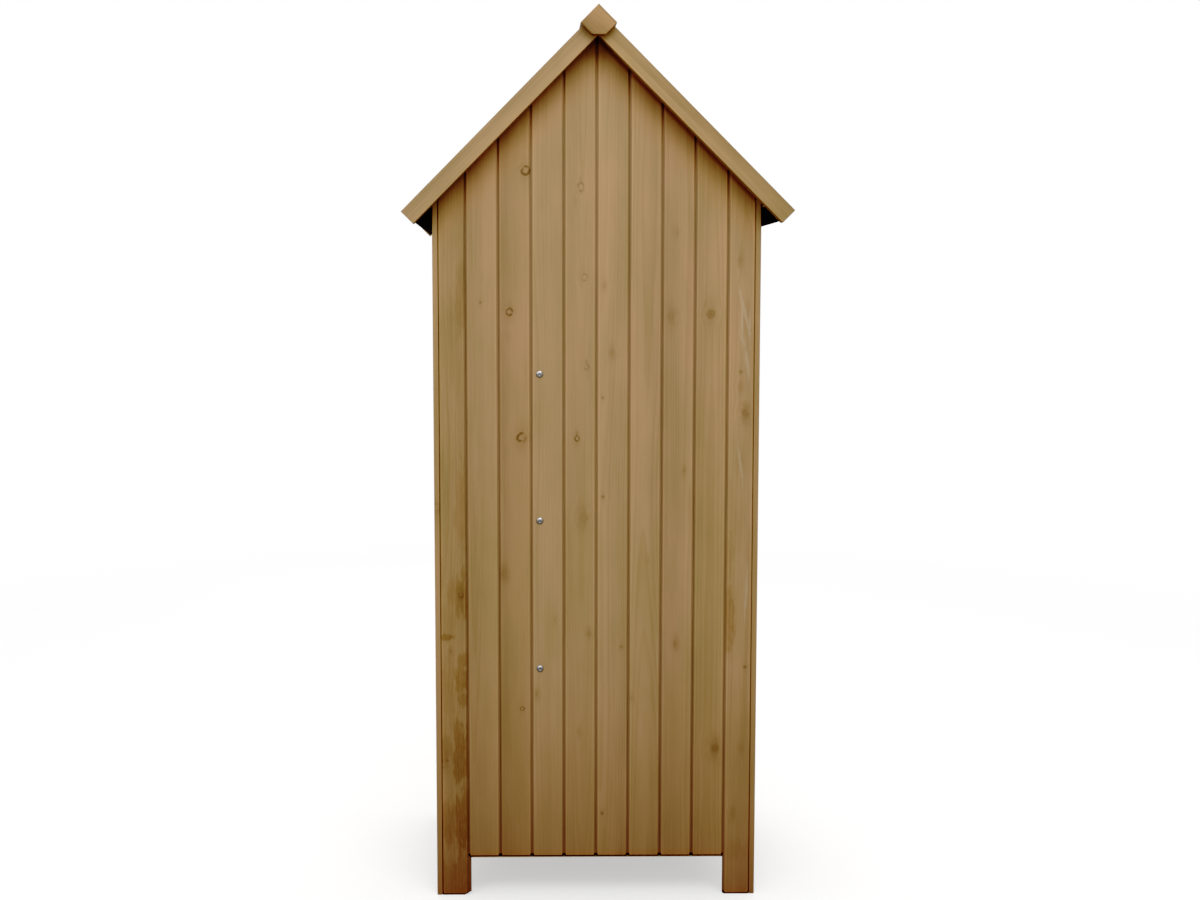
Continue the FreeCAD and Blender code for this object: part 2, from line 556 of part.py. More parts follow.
# handle: a bowed round bar on two foot plates
def handle():
    y0 = Y_FRONT - 0.05
    plate_t = 2.0
    zt, zb_ = HANDLE_Z + 55.0, HANDLE_Z - 55.0
    ys = y0 - plate_t + 0.5
    yo = Y_FRONT - 34.0
    r = 14.0
    x = X_HANDLE
    k = 1 - math.cos(math.pi / 4)
    e = [Part.LineSegment(V(x, ys, zb_), V(x, yo + r, zb_)).toShape(),
         Part.Arc(V(x, yo + r, zb_), V(x, yo + r * k, zb_ + r * k), V(x, yo, zb_ + r)).toShape(),
         Part.LineSegment(V(x, yo, zb_ + r), V(x, yo, zt - r)).toShape(),
         Part.Arc(V(x, yo, zt - r), V(x, yo + r * k, zt - r * k), V(x, yo + r, zt)).toShape(),
         Part.LineSegment(V(x, yo + r, zt), V(x, ys, zt)).toShape()]
    path = Part.Wire(e)
    prof = Part.Wire([Part.Circle(V(x, ys, zb_), V(0, -1, 0), 4.5).toShape()])
    bar = path.makePipeShell([prof], True, False)
    s = bar
    for zz in (zb_, zt):
        pl = box(x - 14.0, x + 14.0, y0 - plate_t, y0, zz - 9.0, zz + 9.0)
        pl = pl.makeFillet(2.5, [ed for ed in pl.Edges
                                 if abs(ed.BoundBox.YLength - plate_t) < 1e-3
                                 and ed.BoundBox.XLength < 1e-3 and ed.BoundBox.ZLength < 1e-3])
        s = s.fuse(pl)
    s = s.removeSplitter()
    return cut_all(s, [hole(p, d, 1.55, 6.0) for p, d in handle_screws])


parts["door_handle"] = handle()

# ------------------------------------------------------------------ hinges
YL0, YL1 = Y_FRONT - 1.6, Y_FRONT - 0.05     # outer and inner face of a leaf
KZ = LEAF_H / 3.0
frame_leaves, door_leaves, pins = [], [], []
for hz in HINGE_Z:
    z0, z1 = hz - LEAF_H / 2.0, hz + LEAF_H / 2.0
    za, zb2 = hz - KZ / 2.0, hz + KZ / 2.0
    # frame leaf: plate with the middle notched out, and the two outer knuckles
    pl = box(X_HINGE - 26.0, X_HINGE, YL0, YL1, z0, z1)
    pl = pl.makeFillet(3.0, [ed for ed in pl.Edges
                             if abs(ed.BoundBox.YLength - (YL1 - YL0)) < 1e-3
                             and ed.BoundBox.XMax < X_HINGE - 20])
    pl = pl.cut(box(X_HINGE - KNUCKLE_R - 0.8, X_HINGE + 1, YL0 - 1, YL1 + 1, za - 0.4, zb2 + 0.4))
    kn = cyl(KNUCKLE_R, za - 0.4 - z0, (X_HINGE, Y_HINGE, z0), (0, 0, 1)).fuse(
        cyl(KNUCKLE_R, z1 - zb2 - 0.4, (X_HINGE, Y_HINGE, zb2 + 0.4), (0, 0, 1)))
    lf = pl.fuse(kn).cut(cyl(PIN_BORE_R, LEAF_H + 4, (X_HINGE, Y_HINGE, z0 - 2), (0, 0, 1)))
    lf = cut_all(lf, [hole(p, d, 1.6, 3.0) for p, d in hinge_frame_screws if abs(p[2] - hz) < 30])
    frame_leaves.append(lf)
    # door leaf: plate with the two ends notched out, and the middle knuckle
    pl = box(X_HINGE, X_HINGE + 26.0, YL0, YL1, z0, z1)
    pl = pl.makeFillet(3.0, [ed for ed in pl.Edges
                             if abs(ed.BoundBox.YLength - (YL1 - YL0)) < 1e-3
                             and ed.BoundBox.XMin > X_HINGE + 20])
    nx = X_HINGE + KNUCKLE_R + 0.8
    pl = pl.cut(box(X_HINGE - 1, nx, YL0 - 1, YL1 + 1, z0 - 1, za + 0.2)).cut(
        box(X_HINGE - 1, nx, YL0 - 1, YL1 + 1, zb2 - 0.2, z1 + 1))
    kn = cyl(KNUCKLE_R, zb2 - za - 0.4, (X_HINGE, Y_HINGE, za + 0.2), (0, 0, 1))
    lf = pl.fuse(kn).cut(cyl(PIN_BORE_R, LEAF_H + 4, (X_HINGE, Y_HINGE, z0 - 2), (0, 0, 1)))
    lf = cut_all(lf, [hole(p, d, 1.6, 3.0) for p, d in hinge_door_screws if abs(p[2] - hz) < 30])
    door_leaves.append(lf)
    pin = cyl(PIN_R, LEAF_H + 1.0, (X_HINGE, Y_HINGE, z0 - 0.5), (0, 0, 1)).fuse(
        cyl(2.6, 1.0, (X_HINGE, Y_HINGE, z1 + 0.05), (0, 0, 1))).fuse(
        cyl(2.6, 1.0, (X_HINGE, Y_HINGE, z0 - 1.05), (0, 0, 1)))
    pins.append(pin.removeSplitter())
parts["hinge_frame_leaves"] = frame_leaves
parts["hinge_door_leaves"] = door_leaves
parts["hinge_pins"] = pins

# ------------------------------------------------------------------ hasp and staple
zc0, zc1 = HASP_Z - 14.0, HASP_Z + 14.0
base = box(X_HASP - 36.0, X_HASP, YL0, YL1, zc0, zc1)
base = base.makeFillet(3.0, [ed for ed in base.Edges
                             if abs(ed.BoundBox.YLength - (YL1 - YL0)) < 1e-3
                             and ed.BoundBox.XMax < X_HASP - 30])
base = base.cut(box(X_HASP - KNUCKLE_R - 0.8, X_HASP + 1, YL0 - 1, YL1 + 1,
                    HASP_Z - 6.4, HASP_Z + 6.4))
kn = cyl(KNUCKLE_R, 7.6, (X_HASP, Y_HINGE, zc0), (0, 0, 1)).fuse(
    cyl(KNUCKLE_R, 7.6, (X_HASP, Y_HINGE, zc1 - 7.6), (0, 0, 1)))
base = base.fuse(kn).cut(cyl(PIN_BORE_R, 40, (X_HASP, Y_HINGE, zc0 - 2), (0, 0, 1)))
base = cut_all(base, [hole(p, d, 1.6, 3.0) for p, d in hasp_screws])
parts["hasp_base"] = base
parts["hasp_pin"] = cyl(PIN_R, 29.0, (X_HASP, Y_HINGE, zc0 - 0.5), (0, 0, 1)).fuse(
    cyl(2.6, 1.0, (X_HASP, Y_HINGE, zc1 + 0.05), (0, 0, 1))).fuse(
    cyl(2.6, 1.0, (X_HASP, Y_HINGE, zc0 - 1.05), (0, 0, 1))).removeSplitter()

YS0, YS1 = Y_HINGE - 0.5, Y_HINGE + 1.0      # strap lies just clear of the staple plate
LUG_X0, LUG_X1 = 279.0, 282.0
strap = box(X_HASP, 302.0, YS0, YS1, HASP_Z - 12.0, HASP_Z + 12.0)
strap = strap.makeFillet(8.0, [ed for ed in strap.Edges
                               if abs(ed.BoundBox.YLength - (YS1 - YS0)) < 1e-3
                               and ed.BoundBox.XMin > 295])
strap = strap.cut(box(X_HASP - 1, X_HASP + KNUCKLE_R + 0.8, YS0 - 1, YS1 + 1,
                      HASP_Z + 5.8, HASP_Z + 20)).cut(
    box(X_HASP - 1, X_HASP + KNUCKLE_R + 0.8, YS0 - 1, YS1 + 1, HASP_Z - 20, HASP_Z - 5.8))
strap = strap.fuse(cyl(KNUCKLE_R, 11.6, (X_HASP, Y_HINGE, HASP_Z - 5.8), (0, 0, 1)))
strap = strap.cut(cyl(PIN_BORE_R, 40, (X_HASP, Y_HINGE, HASP_Z - 20), (0, 0, 1)))
strap = strap.cut(box(LUG_X0 - 1.5, LUG_X1 + 2.6, YS0 - 1, YS1 + 1, HASP_Z - 9.6, HASP_Z + 9.6))
parts["hasp_strap"] = strap

plate = box(264.5, 296.0, YL0, YL1, HASP_Z - 22.0, HASP_Z + 22.0)
plate = plate.makeFillet(3.0, [ed for ed in plate.Edges
                               if abs(ed.BoundBox.YLength - (YL1 - YL0)) < 1e-3])
lug_y = YL0 - 15.0
lug = poly_prism([(LUG_X0, YL0 + 0.4, HASP_Z - 8.2), (LUG_X0, lug_y + 7.0, HASP_Z - 8.2),
                  (LUG_X0, lug_y, HASP_Z - 4.4), (LUG_X0, lug_y, HASP_Z + 4.4),
                  (LUG_X0, lug_y + 7.0, HASP_Z + 8.2), (LUG_X0, YL0 + 0.4, HASP_Z + 8.2)],
                 (LUG_X1 - LUG_X0, 0, 0))
EYE_Y = YL0 - 9.0
st = plate.fuse(lug).cut(cyl(3.5, 20, (LUG_X0 - 8, EYE_Y, HASP_Z), (1, 0, 0)))
st = cut_all(st, [hole(p, d, 1.6, 3.0) for p, d in staple_screws])
parts["hasp_staple"] = st.removeSplitter()

# ------------------------------------------------------------------ screws
parts["back_shelf_screws"] = [screw((p[0], p[1] + 0.05, p[2]), d, 7.0, 3.4, 2.0, 31.0, rim=0.7,
                                    recess=1.9, cross=3.6) for p, d in back_screws]
parts["frame_hardware_screws"] = [screw(p, d, 3.4, 1.7, 1.5, 16.0, rim=0.3, recess=0.9)
                                  for p, d in hinge_frame_screws + staple_screws]
parts["door_hardware_screws"] = ([screw(p, d, 3.4, 1.7, 1.5, 14.0, rim=0.3, recess=0.9)
                                  for p, d in hinge_door_screws] +
                                 [screw(p, d, 3.4, 1.7, 1.5, 10.0, rim=0.3, recess=0.9)
                                  for p, d in hasp_screws + handle_screws])

for name in parts:
    export(name, parts[name])
print(len(parts), "nodes; eye at", EYE_Y, "hinge axis", X_HINGE, Y_HINGE)
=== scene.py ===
import math
import random

import bmesh
import bpy
from mathutils import Matrix, Vector


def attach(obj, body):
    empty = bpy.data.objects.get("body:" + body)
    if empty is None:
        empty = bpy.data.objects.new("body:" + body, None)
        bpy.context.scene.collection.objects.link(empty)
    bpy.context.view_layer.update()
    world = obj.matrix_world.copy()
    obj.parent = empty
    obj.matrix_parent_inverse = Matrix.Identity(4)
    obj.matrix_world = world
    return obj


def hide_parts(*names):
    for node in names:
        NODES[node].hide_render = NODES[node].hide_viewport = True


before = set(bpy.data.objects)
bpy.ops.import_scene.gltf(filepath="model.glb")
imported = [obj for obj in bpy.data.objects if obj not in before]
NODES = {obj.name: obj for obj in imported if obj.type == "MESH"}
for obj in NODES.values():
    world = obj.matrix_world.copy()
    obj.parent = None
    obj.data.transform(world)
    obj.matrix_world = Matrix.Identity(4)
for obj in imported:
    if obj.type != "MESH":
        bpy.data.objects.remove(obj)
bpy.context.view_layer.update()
R2 = math.sqrt(2.0)

# --------------------------------------------------------------------------- sizes, in metres
Z_RIDGE = 1.7825
PITCH = 0.0655
X_B = 0.262
Y_BACK = 0.214
X_OUT = 0.327
PX = 0.3163
XS = 0.2921
DOOR_PITCH = 0.06475


# --------------------------------------------------------------------------- shader maths helper
class Sock:
    """A socket that does arithmetic by adding nodes to its tree."""

    def __init__(self, g, s):
        self.g, self.s = g, s

    def __add__(self, o):
        return self.g.m("ADD", self, o)

    __radd__ = __add__

    def __sub__(self, o):
        return self.g.m("SUBTRACT", self, o)

    def __rsub__(self, o):
        return self.g.m("SUBTRACT", o, self)

    def __mul__(self, o):
        return self.g.m("MULTIPLY", self, o)

    __rmul__ = __mul__

    def __truediv__(self, o):
        return self.g.m("DIVIDE", self, o)

    def __neg__(self):
        return self.g.m("MULTIPLY", self, -1.0)


class Graph:
    def __init__(self, tree):
        self.t = tree
        self.col = 0

    def node(self, kind, **props):
        n = self.t.nodes.new(kind)
        self.col += 1
        n.location = ((self.col % 40) * 60, -(self.col // 40) * 200)
        for k, v in props.items():
            setattr(n, k, v)
        return n

    def put(self, sock, v):
        if isinstance(v, Sock):
            self.t.links.new(v.s, sock)
        elif isinstance(v, bpy.types.NodeSocket):
            self.t.links.new(v, sock)
        else:
            sock.default_value = v

    def m(self, op, *a, clamp=False):
        n = self.node("ShaderNodeMath", operation=op, use_clamp=clamp)
        for i, v in enumerate(a):
            self.put(n.inputs[i], v)
        return Sock(self, n.outputs[0])

    def vm(self, op, *a, out=0):
        n = self.node("ShaderNodeVectorMath", operation=op)
        for i, v in enumerate(a):
            self.put(n.inputs[i], v)
        return Sock(self, n.outputs[out])

    def dot(self, v, w):
        n = self.node("ShaderNodeVectorMath", operation="DOT_PRODUCT")
        self.put(n.inputs[0], v)
        n.inputs[1].default_value = w
        return Sock(self, n.outputs["Value"])

    def xyz(self, x, y, z):
        n = self.node("ShaderNodeCombineXYZ")
        self.put(n.inputs[0], x)
        self.put(n.inputs[1], y)
        self.put(n.inputs[2], z)
        return Sock(self, n.outputs[0])

    def split(self, v):
        n = self.node("ShaderNodeSeparateXYZ")
        self.put(n.inputs[0], v)
        return [Sock(self, n.outputs[i]) for i in range(3)]

    def noise(self, v, scale=1.0, detail=2.0, rough=0.5, dist=0.0, out=0):
        n = self.node("ShaderNodeTexNoise", noise_dimensions="3D")
        self.put(n.inputs["Vector"], v)
        self.put(n.inputs["Scale"], scale)
        n.inputs["Detail"].default_value = detail
        n.inputs["Roughness"].default_value = rough
        n.inputs["Distortion"].default_value = dist
        return Sock(self, n.outputs[out])

    def white(self, w):
        n = self.node("ShaderNodeTexWhiteNoise", noise_dimensions="1D")
        self.put(n.inputs["W"], w)
        return Sock(self, n.outputs["Value"])

    def white2(self, a, b):
        n = self.node("ShaderNodeTexWhiteNoise", noise_dimensions="2D")
        self.put(n.inputs["Vector"], self.xyz(a, b, 0.0))
        return Sock(self, n.outputs["Value"])

    def step(self, x, lo, hi, a=0.0, b=1.0, kind="SMOOTHSTEP"):
        n = self.node("ShaderNodeMapRange", interpolation_type=kind, clamp=True)
        self.put(n.inputs[0], x)
        for i, v in enumerate((lo, hi, a, b)):
            self.put(n.inputs[1 + i], v)
        return Sock(self, n.outputs[0])

    def mixc(self, f, a, b, mode="MIX", clamp=False):
        n = self.node("ShaderNodeMix", data_type="RGBA", blend_type=mode)
        n.clamp_factor = True
        n.clamp_result = clamp
        self.put(n.inputs[0], f)
        self.put(n.inputs[6], a)
        self.put(n.inputs[7], b)
        return Sock(self, n.outputs[2])

    def mixf(self, f, a, b):
        n = self.node("ShaderNodeMix", data_type="FLOAT")
        self.put(n.inputs[0], f)
        self.put(n.inputs[2], a)
        self.put(n.inputs[3], b)
        return Sock(self, n.outputs[0])

    def call(self, tree, **vals):
        n = self.node("ShaderNodeGroup")
        n.node_tree = tree
        for k, v in vals.items():
            self.put(n.inputs[k], v)
        return {o.name: Sock(self, o) for o in n.outputs}


def group(name, ins, outs):
    t = bpy.data.node_groups.new(name, "ShaderNodeTree")
    for n, kind, dv in ins:
        s = t.interface.new_socket(n, in_out="INPUT", socket_type=kind)
        if dv is not None:
            s.default_value = dv
    for n, kind in outs:
        t.interface.new_socket(n, in_out="OUTPUT", socket_type=kind)
    g = Graph(t)
    gi = g.node("NodeGroupInput")
    go = g.node("NodeGroupOutput")
    return g, {s.name: Sock(g, s) for s in gi.outputs if s.name}, go


FL, CO = "NodeSocketFloat", "NodeSocketColor"


def c4(r, g, b):
    return (r, g, b, 1.0)


# --------------------------------------------------------------------------- knots
def build_knot():
    """One knot at (KA, KL) on a board: a broken dark ring round a pale heart, a filled red-brown eye, or only
    the soft smudge that runs along the grain. Tall stretches it, Tail darkens the grain above it."""
    g, i, go = group(
        "knot",
        [("A", FL, 0.0), ("L", FL, 0.0), ("KA", FL, 0.0), ("KL", FL, 0.0), ("Size", FL, 0.01),
         ("Ring", FL, 1.0), ("Fill", FL, 0.0), ("Halo", FL, 0.5), ("Tall", FL, 1.1), ("Tail", FL, 0.0)],
        [("Dx", FL), ("Dark", FL), ("Red", FL), ("Light", FL)],
    )
    a, l, ka, kl, size = i["A"], i["L"], i["KA"], i["KL"], i["Size"]
    dx = (a - ka) / size
    dz = (l - kl) / size / i["Tall"]
    sd = ka * 91.0 + kl * 17.0
    wob = g.noise(g.xyz(dx * 0.8, dz * 0.8, sd), 1.0, 2.0, 0.6) - 0.5
    wob2 = g.noise(g.xyz(dx * 2.6, dz * 2.6, sd + 7.0), 1.0, 2.0, 0.6) - 0.5
    r = g.m("SQRT", dx * dx + dz * dz) + wob * 0.78 + wob2 * 0.30
    part = g.step(g.noise(g.xyz(dx * 0.75, dz * 0.75, sd + 31.0), 1.0, 1.0, 0.5), 0.34, 0.60, 0.32, 1.2)
    ring = g.step(r, 0.42, 0.82) * g.step(r, 0.95, 1.45, 1.0, 0.0) * part
    ring2 = g.step(r, 1.45, 1.7) * g.step(r, 1.75, 2.1, 1.0, 0.0) * 0.28 * (1.3 - part)
    inner = g.step(r, 0.55, 1.22, 1.0, 0.0)
    lines = g.m("SINE", r * 12.0) * 0.5 + 0.5
    # grain bulges round the knot, and a soft darker smudge runs along the grain above and below it
    fall = g.m("EXPONENT", -(dx * dx * 0.16 + dz * dz * 0.30))
    disp = -(a - ka) * fall * 0.82
    smx = dx * 0.75 + wob * 1.8
    smz = dz * 0.34 + wob2 * 0.8
    smudge = g.m("EXPONENT", -(smx * smx + smz * smz)) * i["Halo"]
    tx = dx * 1.7 + wob * 0.8
    tz = (dz - 1.5) * 0.85
    tail = g.m("EXPONENT", -(tx * tx + tz * tz)) * i["Tail"]
    dark = g.m("MAXIMUM", (ring + ring2) * i["Ring"], inner * i["Fill"] * (lines * 0.25 + 0.36))
    dark = g.m("MAXIMUM", dark, smudge * 0.50)
    dark = g.m("MAXIMUM", dark, tail)
    g.put(go.inputs["Dx"], disp)
    g.put(go.inputs["Dark"], dark)
    g.put(go.inputs["Red"], inner * i["Fill"])
    g.put(go.inputs["Light"], i["Ring"] * g.step(r, 0.10, 0.50, 1.0, 0.0))
    return g.t


KNOT = build_knot()


# --------------------------------------------------------------------------- fir
def build_fir():
    """Stained fir. A across the board, D inwards from its face, L along the grain, all in metres from
    the middle of the board; Seed differs for each board."""
    g, i, go = group(
        "fir",
        [("A", FL, 0.0), ("D", FL, 0.0), ("L", FL, 0.0), ("Seed", FL, 0.0), ("Half", FL, 0.03),
         ("Dx", FL, 0.0), ("Dark", FL, 0.0), ("Red", FL, 0.0), ("Light", FL, 0.0),
         ("GrooveShade", FL, 0.0), ("GapShade", FL, 0.0), ("EdgeHighlight", FL, 0.0), ("End", FL, 0.0), ("LowShade", FL, 0.0),
         ("Stain", FL, 0.0), ("Pale", FL, 0.0), ("BounceTint", FL, 0.0), ("Rim", FL, 0.0), ("Warm", FL, 0.0), ("Seam", FL, 0.0),
         ("Mottle", FL, 1.0),
         ("Raw", FL, 0.0), ("Vary", FL, 1.0), ("Tint", CO, c4(1, 1, 1))],
        [("Color", CO), ("Rough", FL), ("Height", FL)],
    )
    a, d, l, seed = i["A"], i["D"], i["L"], i["Seed"]
    h1 = g.white(seed * 1.37 + 0.11)
    h2 = g.white(seed * 2.11 + 5.3)
    h3 = g.white(seed * 3.73 + 9.7)
    h4 = g.white(seed * 0.77 + 3.1)

    # growth rings: distance from a pith line that runs behind the board and drifts a little
    drift = g.noise(g.xyz(seed * 3.1, l * 0.9, 0.0), 1.0, 1.0, 0.5) - 0.5
    cx = (h1 - 0.5) * 0.085 + drift * 0.03
    cd = (h2 * 0.055 + 0.022) + (h3 - 0.5) * 0.030 * l + drift * 0.02
    wav = g.noise(g.xyz(a * 26.0 + seed, d * 26.0, l * 2.6), 1.0, 2.0, 0.55) - 0.5
    ax = a + i["Dx"] - cx
    dd = d + cd
    r = g.m("SQRT", ax * ax + dd * dd) + wav * 0.0035
    space = h4 * 0.0014 + 0.0027
    t = r / space
    ph = g.m("FRACT", t)
    late = g.step(ph, 0.30, 0.90) * g.step(ph, 0.93, 1.0, 1.0, 0.0)
    year = g.white(g.m("FLOOR", t) * 1.73 + seed)
    late = late * (year * 0.75 + 0.35)

    # fibres and streaks along the grain, at three widths
    fine = g.noise(g.xyz(a * 1500.0 + seed, d * 1500.0, l * 26.0), 1.0, 2.0, 0.6) - 0.5
    mid = g.noise(g.xyz(a * 330.0 + seed * 2.0, d * 330.0, l * 6.0), 1.0, 3.0, 0.6) - 0.5
    wide = g.noise(g.xyz(a * 52.0 + i["Dx"] * 40.0 + seed * 3.0, d * 60.0, l * 1.5), 1.0, 2.0, 0.5) - 0.5
    # how unevenly the stain was taken up
    blot = g.noise(g.xyz(a * 17.0, d * 17.0 + seed * 1.9, l * 4.5), 1.0, 3.0, 0.55) - 0.5
    slow = g.noise(g.xyz(seed * 7.7, d * 2.0, l * 1.15), 1.0, 1.0, 0.5) - 0.5

    early = c4(0.452, 0.294, 0.156)
    dark = c4(0.340, 0.206, 0.093)
    base = g.mixc(late * 0.27, early, dark)
    # per board: warmer or greener, lighter or darker
    warm = g.mixc(h1, c4(1.025, 0.985, 0.955), c4(0.98, 1.005, 0.99))
    col = g.mixc(i["Vary"], base, g.mixc(1.0, base, warm, "MULTIPLY"))
    pinkish = g.step(blot + slow * 0.5, -0.16, 0.16)
    col = g.mixc(1.0, col, g.mixc(pinkish, c4(0.99, 1.008, 0.965), c4(1.015, 0.992, 1.01)), "MULTIPLY")
    tone = (1.0 + (fine * 0.14 + mid * 0.13 + wide * 0.20 + blot * 0.30) * i["Mottle"] + slow * 0.12
            + (h2 - 0.5) * 0.20 * g.m("SINE", a / i["Half"] * 1.5)
            + (h3 - 0.5) * 0.085 * i["Vary"])
    col = g.mixc(1.0, col, g.xyz(tone, tone, tone), "MULTIPLY")

    # raw sawn wood inside: paler and yellower
    raw = g.mixc(1.0, col, c4(1.42, 1.50, 1.72), "MULTIPLY")
    col = g.mixc(i["Raw"], col, raw)

    # knots
    kd = g.m("MINIMUM", i["Dark"], 1.0)
    kr = g.m("MINIMUM", i["Red"], 1.0)
    col = g.mixc(i["Light"] * 0.45, col, c4(0.52, 0.345, 0.185))
    col = g.mixc(kr * 0.55, col, c4(0.335, 0.195, 0.095))
    col = g.mixc(kd * 0.95, col, g.mixc(1.0, col, c4(0.44, 0.39, 0.335), "MULTIPLY"))

    # pale figure and dark stain, painted shade in the V joints and deeper on their facet away from the light, a painted
    # highlight on the face beside each joint, and painted shade that darkens the wood towards the ground
    col = g.mixc(i["Pale"] * 0.56, col, c4(0.54, 0.42, 0.27))
    col = g.mixc(i["Stain"], col, g.mixc(1.0, col, c4(0.70, 0.62, 0.52), "MULTIPLY"))
    gn = g.noise(g.xyz(seed, a * 300.0, l * 9.0), 1.0, 3.0, 0.6)
    col = g.mixc(i["GrooveShade"] * (gn * 0.5 + 0.70) * (1.0 - g.m("MINIMUM", i["Stain"], 1.0) * 0.65), col, g.mixc(1.0, col, c4(0.778, 0.774, 0.845), "MULTIPLY"))
    col = g.mixc(i["GapShade"] * (gn * 0.4 + 0.75) * (1.0 - g.m("MINIMUM", i["Stain"], 1.0) * 0.5), col, g.mixc(1.0, col, c4(0.875, 0.873, 0.90), "MULTIPLY"))
    col = g.mixc(i["EdgeHighlight"] * (gn * 0.8 + 0.4), col, g.mixc(1.0, col, c4(1.14, 1.13, 1.11), "MULTIPLY"))
    col = g.mixc(i["LowShade"], col, g.mixc(1.0, col, c4(0.64, 0.54, 0.56), "MULTIPLY"))
    # painted warm bounce light in the shadow under the barge boards
    col = g.mixc(i["BounceTint"], col, g.mixc(1.0, col, c4(1.10, 1.01, 0.96), "MULTIPLY"))
    # painted contact shadow along the barge boards
    col = g.mixc(i["Seam"], col, g.mixc(1.0, col, c4(0.66, 0.52, 0.55), "MULTIPLY"))
    col = g.mixc(i["Rim"], col, g.mixc(1.0, col, c4(0.72, 0.70, 0.66), "MULTIPLY"))
    col = g.mixc(i["Warm"] * (gn * 0.8 + 0.3), col, g.mixc(1.0, col, c4(1.06, 0.96, 0.84), "MULTIPLY"))
    # darker at the bottom ends: the end grain takes more stain, and the band up the face and the notches in the V
    # joints are painted shade
    col = g.mixc(i["End"], col, g.mixc(1.0, col, c4(0.13, 0.09, 0.07), "MULTIPLY"))
    col = g.mixc(1.0, col, i["Tint"], "MULTIPLY")

    rough = 0.56 + mid * 0.20 + blot * 0.14 + late * 0.05 + i["Raw"] * 0.12 - kr * 0.06
    height = fine * 0.35 + mid * 0.45 - late * 0.30 - kd * 0.20 + kr * 0.35 + wide * 0.5
    g.put(go.inputs["Color"], col)
    g.put(go.inputs["Rough"], g.m("MINIMUM", rough, 0.95))
    g.put(go.inputs["Height"], height)
    return g.t


FIR = build_fir()


def auto_knots(g, a, l, seed, half, share=0.62, cell=0.46):
    """Knots scattered by board: at most one in each length of cell, never across its ends."""
    k = g.m("FLOOR", l / cell + g.white(seed + 0.5))
    base = (k - g.white(seed + 0.5)) * cell
    q = k * 3.7 + seed * 1.91
    size = g.white(q + 31.0) * 0.0065 + 0.0035
    kl = base + (g.white(q + 1.0) * 0.6 + 0.2) * cell
    ka = (g.white(q + 2.0) - 0.5) * 1.5 * half
    there = g.step(g.white(q + 3.0), 1.0 - share - 0.01, 1.0 - share + 0.01)
    fill = g.step(g.white(q + 4.0), 0.55, 0.60)
    return g.call(KNOT, A=a, L=l, KA=ka, KL=kl, Size=size, Ring=there * (1.0 - fill * 0.6) * 0.9,
                  Fill=there * fill, Halo=there * 0.7, Tall=g.white(q + 5.0) * 0.5 + 0.9,
                  Tail=there * g.white(q + 6.0) * 0.5)


